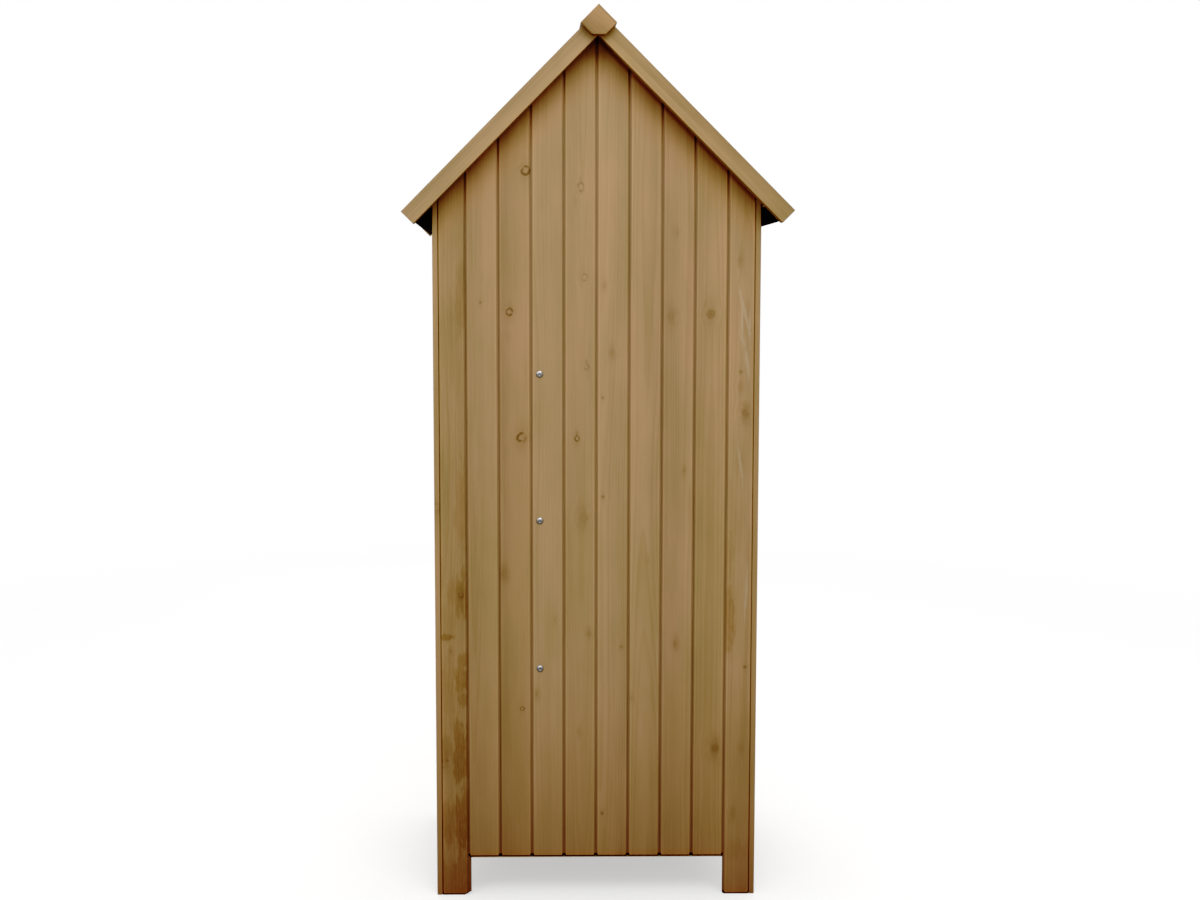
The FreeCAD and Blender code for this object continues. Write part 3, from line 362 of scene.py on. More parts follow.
def wood(name, fields, seed, half=0.03, pitch=None, start=0.0, face=None, groove=False, low=False,
         raw=0.0, knots=(), auto=True, stains=(), pales=(), tint=(1, 1, 1), groove_w=0.0,
         share=0.62, vary=1.0, l0=0.0, ends=(), dark_side=1.0, barge_shade=False, rim=None, mottle=1.0):
    """A material for one node. fields is a list of (where, A, D, L): A, D and L are (direction, offset)
    that turn a place into across, depth and along; where is None or a test that picks the field."""
    mat = bpy.data.materials.new(name)
    mat.use_nodes = True
    nt = mat.node_tree
    nt.nodes.clear()
    g = Graph(nt)
    tc = g.node("ShaderNodeTexCoord")
    p = Sock(g, tc.outputs["Object"])
    pos = g.split(p)

    def line(spec):
        direction, off = spec
        return g.dot(p, direction) + off

    a, d, l = (line(s) for s in fields[0][1:])
    for where, sa, sd, sl in fields[1:]:
        w = where(g, pos)
        a = g.mixf(w, a, line(sa))
        d = g.mixf(w, d, line(sd))
        l = g.mixf(w, l, line(sl))
    if pitch:
        idx = g.m("FLOOR", (a - start) / pitch)
        a = a - start - (idx + 0.5) * pitch
        sd_ = idx * 7.31 + seed
    else:
        sd_ = seed
    l = l - l0
    out = {"Dx": None, "Dark": None, "Red": None, "Light": None}

    def add(r, mode="MAXIMUM"):
        for k in out:
            if out[k] is None:
                out[k] = r[k]
            else:
                out[k] = (out[k] + r[k]) if k == "Dx" else g.m(mode, out[k], r[k])

    if auto:
        add(auto_knots(g, a, l, sd_ if isinstance(sd_, Sock) else g.m("ADD", sd_, 0.0), half, share))
    if knots:
        # one knot for each length of board: its numbers change half way to the next one
        ks = sorted(knots, key=lambda q: q["l"])
        past = [g.m("GREATER_THAN", l, (k0["l"] + k1["l"]) / 2) for k0, k1 in zip(ks, ks[1:])]
        pick = {}
        for key, arg in (("a", "KA"), ("l", "KL"), ("s", "Size"), ("ring", "Ring"), ("fill", "Fill"),
                         ("halo", "Halo"), ("tall", "Tall"), ("tail", "Tail")):
            v = ks[0][key]
            for flag, k0, k1 in zip(past, ks, ks[1:]):
                if k1[key] != k0[key]:
                    v = g.m("MULTIPLY_ADD", flag, k1[key] - k0[key], v)
            pick[arg] = v
        add(g.call(KNOT, A=a, L=l, **pick))
    vals = {k: v for k, v in out.items() if v is not None}

    if groove and face is not None:
        depth = line(face)
        gr = g.step(depth, 0.00002, 0.00035)
        away = g.m("ABSOLUTE", a)
        near = g.step(away, half - (groove_w or 0.0065), half - (groove_w or 0.0065) + 0.0006)
        # painted shade over the facets of the V joints
        vals["GrooveShade"] = gr * near
        # painted shade deep in the V joints, stronger on the facet that looks away from the light
        vals["GapShade"] = g.step(depth, 0.0007, 0.0015) * near * g.step(a * dark_side, -0.001, 0.001, 0.1, 1.0)
        # painted highlight on the face just beside each joint, as if its eased edge caught the light, stronger on one
        # side
        vals["EdgeHighlight"] = (1.0 - gr) * g.step(away, half - 0.0078, half - 0.0050) * g.step(a * dark_side, -0.001, 0.001, 0.55, 1.0)
    if ends:
        # painted shade: a dark band up the face from each end, taller in the V joints; the end grain itself also takes
        # more stain
        e = None
        for z0, up in ends:
            q = g.step((pos[2] - z0) * up, 0.0012, 0.0038, 1.0, 0.0)
            if groove and face is not None:
                q = g.m("MAXIMUM", q, g.step((pos[2] - z0) * up, 0.0045, 0.0065, 1.0, 0.0) * vals["GrooveShade"])
            e = q if e is None else g.m("MAXIMUM", e, q)
        vals["End"] = e
        vals["Warm"] = g.step(pos[2] - ends[0][0], 0.008, 0.018, 1.0, 0.0)
    if barge_shade:
        # painted warm bounce light in a band under the barge boards
        below = (Z_RIDGE - 0.048) - g.m("ABSOLUTE", pos[0]) - pos[2]
        vals["BounceTint"] = g.step(below, 0.035, 0.115, 1.0, 0.0)
        # painted contact shadow right along the lower edge of the barge boards, weaker on the +X side
        vals["Seam"] = g.step(below, -0.001, 0.010, 1.0, 0.0) * g.step(pos[0], -0.02, 0.02, 1.0, 0.35)
    if rim:
        vals["Rim"] = g.step(g.m("ABSOLUTE", a), rim - 0.0019, rim - 0.0007)
    if low:
        # painted shade: darker towards the ground, as the light falls off
        vals["LowShade"] = g.m("POWER", g.step(pos[2], 0.0, 0.75, 1.0, 0.0, "LINEAR"), 2.1)
    st = None
    if stains:
        edge_n = g.noise(g.xyz(a * 120.0, l * 30.0, seed), 1.0, 3.0, 0.6) - 0.5
        body_n = g.noise(g.xyz(a * 260.0, l * 60.0, seed + 3.0), 1.0, 2.0, 0.6) - 0.5
        grain_n = (edge_n * 0.8 + body_n) * 1.1
    for sx, sz, wx, wz, k, side in stains:
        # side 1 or -1: everything from the middle of the patch to that edge of the board belongs to it
        ex = (a - sx) / wx
        if side:
            ex = g.m("MAXIMUM", ex * -side, 0.0)
        ez = (l - sz) / wz
        e = g.m("SQRT", ex * ex + ez * ez) + edge_n * 2.3
        q = g.step(e, 0.50, 1.20, 1.0, 0.0) * (k + k * grain_n)
        st = q if st is None else g.m("MAXIMUM", st, q)
    if st is not None:
        vals["Stain"] = st
    pl = None
    if pales:
        nx = g.noise(g.xyz(a * 200.0, l * 45.0, seed), 1.0, 2.0, 0.6) - 0.5
    for (x0, z0), (x1, z1), w in pales:
        # a slanting pale streak
        tt = g.step(l, min(z0, z1), max(z0, z1), 0.0, 1.0, "LINEAR")
        xx = g.mixf(tt, x0 if z0 < z1 else x1, x1 if z0 < z1 else x0)
        e = g.m("ABSOLUTE", (a - xx) / w) + g.m("ABSOLUTE", (l - (z0 + z1) / 2) / (abs(z1 - z0) / 2 + 0.006)) * 0.5 + nx * 1.1
        q = g.step(e, 0.25, 1.1, 1.0, 0.0)
        pl = q if pl is None else g.m("MAXIMUM", pl, q)
    if pl is not None:
        vals["Pale"] = pl

    f = g.call(FIR, A=a, D=d, L=l, Seed=sd_, Half=half, Raw=raw, Vary=vary, Tint=c4(*tint), Mottle=mottle, **vals)
    bs = g.node("ShaderNodeBsdfPrincipled")
    g.put(bs.inputs["Base Color"], f["Color"])
    g.put(bs.inputs["Roughness"], f["Rough"])
    bs.inputs["Specular IOR Level"].default_value = 0.34 if raw < 0.5 else 0.22
    bump = g.node("ShaderNodeBump")
    bump.inputs["Strength"].default_value = 0.55
    bump.inputs["Distance"].default_value = 0.00028
    g.put(bump.inputs["Height"], f["Height"])
    g.put(bs.inputs["Normal"], bump.outputs[0])
    mo = g.node("ShaderNodeOutputMaterial")
    g.put(mo.inputs["Surface"], bs.outputs[0])
    return mat


X, Y, Z = (1, 0, 0), (0, 1, 0), (0, 0, 1)
MX, MY = (-1, 0, 0), (0, -1, 0)


def set_mat(node, mat):
    o = NODES[node]
    if not o.material_slots:
        o.data.materials.append(mat)
    for s in o.material_slots:
        s.material = mat


# --------------------------------------------------------------------------- knots seen on the back
# (board, place across from the board's middle, height) in metres
def kn(a, l, s, **kw):
    return dict(a=a, l=l, s=s, **kw)


CAM = dict(pos=(0.1606, 2.7818, 1.2266), yaw=math.radians(0.163), pitch=math.radians(-4.494),
           roll=math.radians(-0.182), f=1285.2, sx=-80.0, sy=-50.0)


def camera_matrix():
    base = Matrix(((-1, 0, 0), (0, 0, 1), (0, -1, 0)))
    cy, sy = math.cos(CAM["yaw"]), math.sin(CAM["yaw"])
    cp, sp = math.cos(CAM["pitch"]), math.sin(CAM["pitch"])
    cr, sr = math.cos(CAM["roll"]), math.sin(CAM["roll"])
    ry = Matrix(((cy, 0, -sy), (0, 1, 0), (sy, 0, cy)))
    rp = Matrix(((1, 0, 0), (0, cp, -sp), (0, sp, cp)))
    rr = Matrix(((cr, sr, 0), (-sr, cr, 0), (0, 0, 1)))
    return rr @ rp @ ry @ base      # rows: right, up, forward


M_CAM = camera_matrix()


def on_back(px, py, y=Y_BACK):
    """The place on the back wall that a pixel of the 1200 x 900 frame shows."""
    qx = (px - 600.0 - CAM["sx"]) / CAM["f"]
    qy = -(py - 450.0 - CAM["sy"]) / CAM["f"]
    d = M_CAM.transposed() @ Vector((qx, qy, 1.0))
    p = Vector(CAM["pos"])
    t = (y - p.y) / d.y
    return p + d * t


# knots by pixel: x, y, radius in pixels, ring, fill, halo, and for some how tall they are and the tail above
SEEN = [
    (525.6, 170.6, 4.3, 1.0, 0.15, 0.35, 1.0, 0.0), (580.7, 187.0, 3.0, 0.50, 0.0, 0.25, 1.55, 0.30),
    (676.2, 231.9, 2.4, 0.15, 0.2, 0.35), (575.0, 202.0, 2.0, 0.1, 0.0, 0.3),
    (480.3, 302.6, 1.6, 0.2, 0.7, 0.3), (509.2, 311.7, 3.6, 0.95, 0.0, 0.5, 1.05, 0.25),
    (522.0, 437.6, 4.7, 1.0, 0.0, 0.6, 1.0, 0.15), (576.9, 438.4, 2.4, 0.85, 0.0, 0.5, 1.2, 0.55),
    (586.3, 366.9, 2.3, 0.6, 0.0, 0.35, 1.3, 0.45), (584.5, 277.3, 3.2, 0.35, 0.0, 0.15),
    (604.2, 285.9, 2.4, 0.2, 0.3, 0.4), (612.3, 352.9, 2.8, 0.2, 0.15, 0.6),
    (602.6, 397.8, 1.5, 0.2, 0.6, 0.3), (603.1, 496.9, 1.8, 0.2, 0.8, 0.35),
    (583.6, 517.4, 4.2, 0.35, 0.0, 0.7), (508.0, 336.6, 2.2, 0.15, 0.0, 0.3),
    (670.8, 316.5, 3.8, 0.30, 0.2, 0.75), (710.4, 314.2, 4.8, 0.35, 0.85, 0.6),
    (740.8, 260.7, 2.4, 0.1, 0.2, 0.5), (741.0, 372.0, 1.7, 0.2, 0.8, 0.3),
    (745.4, 413.1, 3.4, 0.5, 0.4, 1.1), (740.6, 461.9, 1.8, 0.1, 0.3, 0.5),
    (740.5, 387.0, 2.2, 0.1, 0.0, 0.55), (504.2, 573.6, 3.0, 0.2, 0.0, 0.9),
    (589.0, 633.5, 2.2, 0.15, 0.2, 0.8), (536.9, 694.1, 2.2, 0.2, 0.4, 0.7),
    (522.4, 708.8, 2.1, 0.7, 0.0, 0.2), (621.0, 646.9, 1.8, 0.1, 0.7, 0.3),
    (675.5, 643.7, 2.6, 0.2, 0.5, 0.75), (744.8, 667.0, 1.7, 0.2, 1.0, 0.3),
    (631.6, 698.0, 1.8, 0.1, 0.4, 0.5), (602.2, 813.3, 1.9, 0.2, 0.8, 0.3),
    (578.8, 731.9, 2.0, 0.1, 0.0, 0.5), (714.9, 748.2, 4.6, 0.30, 0.75, 0.95),
    (732.6, 813.5, 3.0, 0.1, 0.0, 0.6), (741.6, 748.5, 2.0, 0.1, 0.1, 0.5),
    (451.0, 651.4, 2.0, 0.2, 0.5, 0.5), (461.0, 595.0, 2.6, 0.5, 0.2, 0.5),
    (446.0, 764.0, 3.8, 0.45, 0.1, 0.6), (555.0, 620.0, 1.6, 0.1, 0.2, 0.4),
    (684.0, 470.0, 1.8, 0.1, 0.2, 0.5), (648.0, 560.0, 1.6, 0.1, 0.1, 0.4),
]
leg_w = 0.3165 - 0.262
board_span = {"back_board_%d" % (i + 1): (-X_B + i * PITCH, -X_B + (i + 1) * PITCH) for i in range(8)}
board_span["back_leg_board_right"] = (X_B, 0.3165)
board_span["back_leg_board_left"] = (-0.3165, -X_B)
board_knots = {n: [] for n in board_span}
for px, py, rad, ring, fill, halo, *more in SEEN:
    w = on_back(px, py)
    scale = 2.0e-3
    tall, tail = more or (1.1, 0.0)
    for n, (x0, x1) in board_span.items():
        if x0 <= w.x < x1:
            mid = (x0 + x1) / 2
            a = max(-(x1 - x0) / 2 + 0.004, min((x1 - x0) / 2 - 0.004, w.x - mid))
            board_knots[n].append(kn(a, w.z, rad * scale, ring=ring, fill=fill, halo=halo, tall=tall, tail=tail))

def stain_list(mid, spots):
    """Patches of darker wood, given as x, y, half width and half height in pixels of the frame."""
    out = []
    for x, y, wx, wy, k, side in spots:
        w = on_back(x, y)
        out.append((w.x - mid, w.z, wx * 2.085e-3, wy * 2.085e-3, k, side))
    return out


# --------------------------------------------------------------------------- wood for each node
rng = random.Random(4)
TINT = {"back_board_8": (0.976, 0.959, 0.927), "back_board_7": (0.95, 0.929, 0.908),
        "back_board_6": (1.013, 1.002, 0.988), "back_board_5": (1.012, 1.006, 0.988),
        "back_board_4": (1.02, 1.008, 0.998), "back_board_3": (0.995, 0.99, 0.98),
        "back_board_2": (0.978, 0.958, 0.968), "back_board_1": (0.97, 0.956, 0.92),
        "back_leg_board_right": (0.90, 0.877, 0.825), "back_leg_board_left": (0.977, 0.957, 0.955)}
for n, (x0, x1) in board_span.items():
    mid = (x0 + x1) / 2
    kw = {}
    # facing the back, +X is the left hand
    if n == "back_leg_board_right":
        kw["stains"] = stain_list(mid, (
            (459.0, 597.0, 4.5, 24.0, 0.75, -1), (451.5, 592.0, 6.0, 15.0, 0.40, 0),
            (447.0, 637.5, 7.5, 3.6, 1.0, 0), (461.0, 661.0, 3.4, 10.0, 0.75, -1), (458.0, 680.0, 5.5, 14.0, 0.80, -1),
            (460.8, 699.0, 3.6, 9.0, 0.65, -1), (457.5, 753.0, 4.6, 33.0, 0.85, -1), (459.5, 822.0, 5.0, 36.0, 0.85, -1),
            (445.0, 682.0, 4.5, 24.0, 0.42, 0), (447.0, 748.0, 6.0, 16.0, 0.50, 0), (449.0, 838.0, 7.0, 9.0, 0.45, 0),
            (458.0, 880.0, 8.0, 26.0, 0.55, -1), (448.0, 890.0, 30.0, 34.0, 0.40, 0), (449.0, 690.0, 12.0, 42.0, 0.30, 0), (449.0, 822.0, 12.0, 26.0, 0.55, 0), (447.0, 625.0, 12.0, 24.0, 0.22, 0), (459.5, 505.0, 5.0, 45.0, 0.34, -1), (459.0, 300.0, 5.0, 34.0, 0.34, -1)))
    if n == "back_leg_board_left":
        kw["pales"] = []
        for (ax, ay), (bx, by), w in (((738.6, 287.8), (750.1, 333.7), 2.4), ((739.6, 333.7), (745.3, 347.0), 2.2),
                                      ((745.3, 347.0), (748.6, 373.8), 2.6), ((737.7, 446.5), (742.4, 479.0), 1.8),
                                      ((741.5, 300.0), (743.0, 352.0), 1.6), ((750.1, 318.0), (748.9, 335.0), 1.8),
                                      ((747.0, 572.0), (745.0, 612.0), 2.0)):
            u, v = on_back(ax, ay), on_back(bx, by)
            kw["pales"].append(((u.x - mid, u.z), (v.x - mid, v.z), w * 2.085e-3))
        kw["stains"] = stain_list(mid, ((730.0, 618.0, 6.5, 34.0, 0.62, 1), (729.0, 560.0, 4.5, 26.0, 0.35, 1), (735.0, 850.0, 14.0, 12.0, 0.2, 0)))
    mat = wood("fir_" + n, [(None, (X, -mid), (MY, Y_BACK - 0.005), (Z, 0.0))], seed=rng.uniform(1, 60),
               half=(x1 - x0) / 2, face=(MY, Y_BACK), groove=True, low=True, knots=board_knots[n],
               auto=False, tint=TINT.get(n, (1, 1, 1)), vary=0.5,
               mottle={"back_leg_board_right": 1.9, "back_leg_board_left": 1.35}.get(n, 1.0),
               ends=[(0.0 if "leg" in n else 0.081, 1)], barge_shade=True, **kw)
    set_mat(n, mat)

for side, sg in (("left", -1), ("right", 1)):
    fdir = X if sg < 0 else MX
    set_mat("side_boards_" + side,
            wood("fir_side_" + side, [(None, (Y, 0.0), (fdir, X_OUT - 0.005), (Z, 0.0))],
                 seed=11.0 + 5 * sg, half=0.0326, pitch=0.0652, start=-0.2282, face=(fdir, X_OUT),
                 groove=True, low=True, groove_w=0.006, tint=(1.0, 0.99, 0.97)))
    set_mat("front_stile_" + side,
            wood("fir_stile_" + side, [(None, (X, -sg * 0.28925), (Y, 0.209), (Z, 0.0))], seed=31.0 + 3 * sg,
                 half=0.027, face=(Y, 0.214), groove=True, low=True, groove_w=0.004))
    sl = (sg / R2, 0, -1 / R2)
    nn = (-sg / R2, 0, -1 / R2)
    o = Z_RIDGE / R2
    set_mat("roof_boards_" + side,
            wood("fir_roof_" + side, [(None, (sl, o), (nn, o - 0.009), (Y, 0.0))], seed=71.0 + 4 * sg,
                 half=0.0337, pitch=0.067375, start=0.0, raw=0.75, share=0.5))
    for f, fs in (("rear", 1), ("front", -1)):
        fd = MY if fs > 0 else Y
        set_mat("barge_board_%s_%s" % (f, side),
                wood("fir_barge_%s_%s" % (f, side), [(None, (nn, o - 0.017), (fd, 0.245), (sl, o))],
                     seed=90.0 + sg * 7 + fs * 3, half=0.017, auto=False, vary=0.6, rim=0.017,
                     tint=(0.93, 0.955, 0.915) if sg > 0 else (0.87, 0.88, 0.79), mottle=2.1))
for f, fs in (("rear", 1), ("front", -1)):
    fd = MY if fs > 0 else Y
    set_mat("finial_" + f,
            wood("fir_finial_" + f, [(None, ((1 / R2, 0, -1 / R2), 1.7546 / R2), (fd, 0.245),
                                             ((1 / R2, 0, 1 / R2), -1.7546 / R2))],
                 seed=120.0 + fs, half=0.025, auto=False, vary=0.4, tint=(0.82, 0.76, 0.66), rim=0.0235, mottle=2.4))

set_mat("front_gable_boards",
        wood("fir_gable", [(None, (X, 0.0), (Y, 0.209), (Z, 0.0))], seed=44.0, half=PITCH / 2, pitch=PITCH,
             start=-X_B, face=(Y, 0.214), groove=True, barge_shade=True))
set_mat("door_boards",
        wood("fir_door", [(None, (X, 0.0), (Y, 0.209), (Z, 0.0))], seed=52.0, half=DOOR_PITCH / 2,
             pitch=DOOR_PITCH, start=-0.259, face=(Y, 0.214), groove=True, low=True))

is_side = lambda lim: (lambda g, p: g.m("GREATER_THAN", g.m("ABSOLUTE", p[0]), lim))
post = [(None, (X, 0.0), (Y, 0.0), (Z, 0.0))]
for n, s in (("rear_corner_posts", 1.0), ("front_corner_posts", 2.0), ("divider_uprights", 3.0), ("door_stops", 4.0)):
    set_mat(n, wood("fir_" + n, post, seed=200.0 + s * 3, half=0.3, pitch=0.05, start=-0.335, raw=0.75,
                    low=n.endswith("posts"), auto=False))
set_mat("floor_frame",
        wood("fir_floor_frame", [(None, (Z, -0.0895), (Y, 0.0), (X, 0.0)),
                                 (is_side(0.2942), (Z, -0.0895), (X, 0.0), (Y, 0.0))], seed=230.0, half=0.015,
             raw=0.75, auto=False))
set_mat("floor_boards",
        wood("fir_floor", [(None, (X, 0.0), (Z, -0.11), (Y, 0.0))], seed=240.0, half=0.0365, pitch=0.073025,
             start=-XS, raw=0.8))
for n, s in (("back_top_rail", 1.4125), ("front_header_rail", 1.360), ("tool_rail", 1.245)):
    set_mat(n, wood("fir_" + n, [(None, (Z, -s), (Y, 0.0), (X, 0.0))], seed=260.0 + s * 5, half=0.017, raw=0.75))
set_mat("wall_plates", wood("fir_plates", [(None, (Z, -1.4125), (X, 0.0), (Y, 0.0))], seed=281.0, half=0.017, raw=0.75))
set_mat("ridge_beam", wood("fir_ridge", [(None, (Z, -1.729), (X, 0.0), (Y, 0.0))], seed=284.0, half=0.017, raw=0.75))
set_mat("shelf_cleats",
        wood("fir_cleats", [(None, (Z, 0.0), (Y, 0.0), (X, 0.0)),
                            (lambda g, p: g.m("MAXIMUM", g.m("LESS_THAN", p[0], -0.295), g.m("GREATER_THAN", p[0], 0.0838)),
                             (Z, 0.0), (X, 0.0), (Y, 0.0))], seed=290.0, half=0.3, raw=0.8, auto=False))
for k, n in enumerate(("shelf_lower", "shelf_middle", "shelf_upper")):
    set_mat(n, wood("fir_" + n, [(None, (Y, 0.0), (Z, -(0.5 + 0.3 * k)), (X, 0.0))], seed=300.0 + 9 * k, half=0.034,
                    pitch=0.074, start=-0.175, raw=0.8))
for side, sg in (("left", -1), ("right", 1)):
    pass
sl1 = (1 / R2, 0, -1 / R2)
sl2 = (-1 / R2, 0, -1 / R2)
o = Z_RIDGE / R2
set_mat("gable_rafters",
        wood("fir_rafters", [(None, (sl2, o), (Y, 0.0), (sl1, o)),
                             (lambda g, p: g.m("LESS_THAN", p[0], 0.0), (sl1, o), (Y, 0.0), (sl2, o))],
             seed=330.0, half=0.3, raw=0.75, auto=False))
set_mat("eave_battens", wood("fir_eaves", [(None, (X, 0.0), (Z, 0.0), (Y, 0.0))], seed=340.0, half=0.3, raw=0.7, auto=False))
set_mat("door_ledges",
        wood("fir_ledges", [(None, (Z, 0.0), (Y, 0.2), (X, 0.0))], seed=350.0, half=0.035, pitch=0.5551, start=-0.1076,
             raw=0.75))
bl = math.hypot(0.388, 0.48)
bdir = (0.388 / bl, 0, 0.48 / bl)
bacr = (0.48 / bl, 0, -0.388 / bl)
set_mat("door_braces", wood("fir_braces", [(None, (bacr, 0.0), (Y, 0.2), (bdir, 0.0))], seed=361.0, half=0.4, raw=0.75,
                            auto=False))


# --------------------------------------------------------------------------- eased edges on all timber
def clean_tree():
    t = bpy.data.node_groups.new("join_faces", "GeometryNodeTree")
    t.interface.new_socket("Geometry", in_out="INPUT", socket_type="NodeSocketGeometry")
    t.interface.new_socket("Geometry", in_out="OUTPUT", socket_type="NodeSocketGeometry")
    gi, go = t.nodes.new("NodeGroupInput"), t.nodes.new("NodeGroupOutput")
    mg = t.nodes.new("GeometryNodeMergeByDistance")
    mg.inputs["Distance"].default_value = 0.00001
    ra = t.nodes.new("GeometryNodeRemoveAttribute")
    ra.inputs["Name"].default_value = "custom_normal"
    ss = t.nodes.new("GeometryNodeSetShadeSmooth")
    ss.inputs["Shade Smooth"].default_value = True
    t.links.new(gi.outputs[0], mg.inputs[0])
    t.links.new(mg.outputs[0], ra.inputs[0])
    t.links.new(ra.outputs[0], ss.inputs[0])
    t.links.new(ss.outputs[0], go.inputs[0])
    return t


CLEAN = clean_tree()


def ease(obj, width, seg=2, ang=28.0):
    m = obj.modifiers.new("join", "NODES")
    m.node_group = CLEAN
    d = obj.modifiers.new("flat", "DECIMATE")
    d.decimate_type = "DISSOLVE"
    d.angle_limit = math.radians(0.4)
    b = obj.modifiers.new("ease", "BEVEL")
    b.width = width
    b.segments = seg
    b.limit_method = "ANGLE"
    b.angle_limit = math.radians(ang)
    b.use_clamp_overlap = True
    b.miter_outer = "MITER_SHARP"
    w = obj.modifiers.new("shade", "WEIGHTED_NORMAL")
    w.weight = 100
    w.keep_sharp = False


WOOD = {}
for n, o in NODES.items():
    if o.material_slots and o.material_slots[0].material and o.material_slots[0].material.name.startswith("fir_"):
        big = n.startswith(("barge", "finial", "rear_corner", "front_corner", "divider", "floor_frame", "eave", "gable_r",
                            "ridge_b", "tool_rail", "shelf", "back_top", "front_header", "wall_pl", "door_led", "door_br",
                            "door_st"))
        ease(o, 0.0011 if big else 0.0004, 3 if big else 2)

# --------------------------------------------------------------------------- metal
def metal(name, base, rough, spec_dirt=0.0, scratch=0.12, metallic=1.0, bumpd=0.00005, worn=None, heads=(), head=None):
    mat = bpy.data.materials.new(name)
    mat.use_nodes = True
    nt = mat.node_tree
    nt.nodes.clear()
    g = Graph(nt)
    tc = g.node("ShaderNodeTexCoord")
    p = Sock(g, tc.outputs["Object"])
    n1 = g.noise(p, 260.0, 3.0, 0.6)
    n2 = g.noise(p, 45.0, 2.0, 0.5)
    st = g.noise(g.vm("MULTIPLY", p, (900.0, 900.0, 60.0)), 1.0, 2.0, 0.7)
    tone = g.step(n2, 0.3, 0.7, 0.90, 1.06) * g.step(n1, 0.3, 0.7, 0.95, 1.04)
    col = g.mixc(1.0, c4(*base), g.xyz(tone, tone, tone), "MULTIPLY")
    if worn:
        wm = g.step(g.noise(p, 120.0, 4.0, 0.7), 0.60, 0.72)
        col = g.mixc(wm * 0.5, col, c4(*worn))
    if heads:
        # darker in the cross recess, painted shade round the rim of each head, and a painted highlight on the lower lip
        # of the recess
        px, py, pz = g.split(p)
        d = lip = None
        for hx, hz in heads:
            q = g.m("SQRT", (px - hx) * (px - hx) + (pz - hz) * (pz - hz))
            d = q if d is None else g.m("MINIMUM", d, q)
            pl = pz - (hz - 0.0026)
            q = g.m("SQRT", (px - hx) * (px - hx) + pl * pl)
            lip = q if lip is None else g.m("MINIMUM", lip, q)
        r_out, y_top, curve = head
        pit = g.step(y_top - d * d / curve - py, 0.0001, 0.0004) * g.step(d, r_out * 0.54, r_out * 0.60, 1.0, 0.0)
        edge = g.step(d, r_out - 0.0017, r_out - 0.0004)
        lip_glint = g.step(lip, 0.0010, 0.0021, 1.0, 0.0)
        col = g.mixc(pit * 0.40, col, c4(0.05, 0.048, 0.05))
        # painted highlight on the lower lip of the recess
        col = g.mixc(lip_glint * 0.75, col, c4(0.97, 0.96, 0.93))
        # painted shade round the rim of the head
        col = g.mixc(edge * 0.85, col, g.mixc(1.0, col, c4(0.24, 0.225, 0.20), "MULTIPLY"))
    bs = g.node("ShaderNodeBsdfPrincipled")
    g.put(bs.inputs["Base Color"], col)
    bs.inputs["Metallic"].default_value = metallic
    g.put(bs.inputs["Roughness"], rough + (n1 - 0.5) * 0.22 + (st - 0.5) * scratch)
    bump = g.node("ShaderNodeBump")
    bump.inputs["Strength"].default_value = 0.35
    bump.inputs["Distance"].default_value = bumpd
    g.put(bump.inputs["Height"], n1 * 0.6 + st * 0.4)
    g.put(bs.inputs["Normal"], bump.outputs[0])
    mo = g.node("ShaderNodeOutputMaterial")
    g.put(mo.inputs["Surface"], bs.outputs[0])
    return mat


ZINC = metal("zinc_plate", (0.66, 0.67, 0.70), 0.30)
SCREW = metal("zinc_screw", (0.60, 0.60, 0.64), 0.29, scratch=0.05)
CLOUT = metal("zinc_clout", (0.34, 0.345, 0.36), 0.55)
BLACK = metal("black_powder_coat", (0.022, 0.022, 0.024), 0.42, metallic=0.0, bumpd=0.00009, scratch=0.05)
for n in ("hinge_frame_leaves", "hinge_door_leaves", "hinge_pins", "hasp_base", "hasp_pin", "hasp_strap", "hasp_staple",
          "tool_hooks"):
    set_mat(n, ZINC)
for n in ("frame_hardware_screws", "door_hardware_screws", "door_ledge_screws"):
    set_mat(n, SCREW)
set_mat("back_shelf_screws", metal("zinc_back_screw", (0.56, 0.55, 0.54), 0.46, scratch=0.05,
                                    heads=[(0.114, z) for z in (0.476, 0.780, 1.0765)], head=(0.0070, Y_BACK + 0.00345, 0.0208)))
set_mat("felt_nails", CLOUT)
set_mat("door_handle", BLACK)


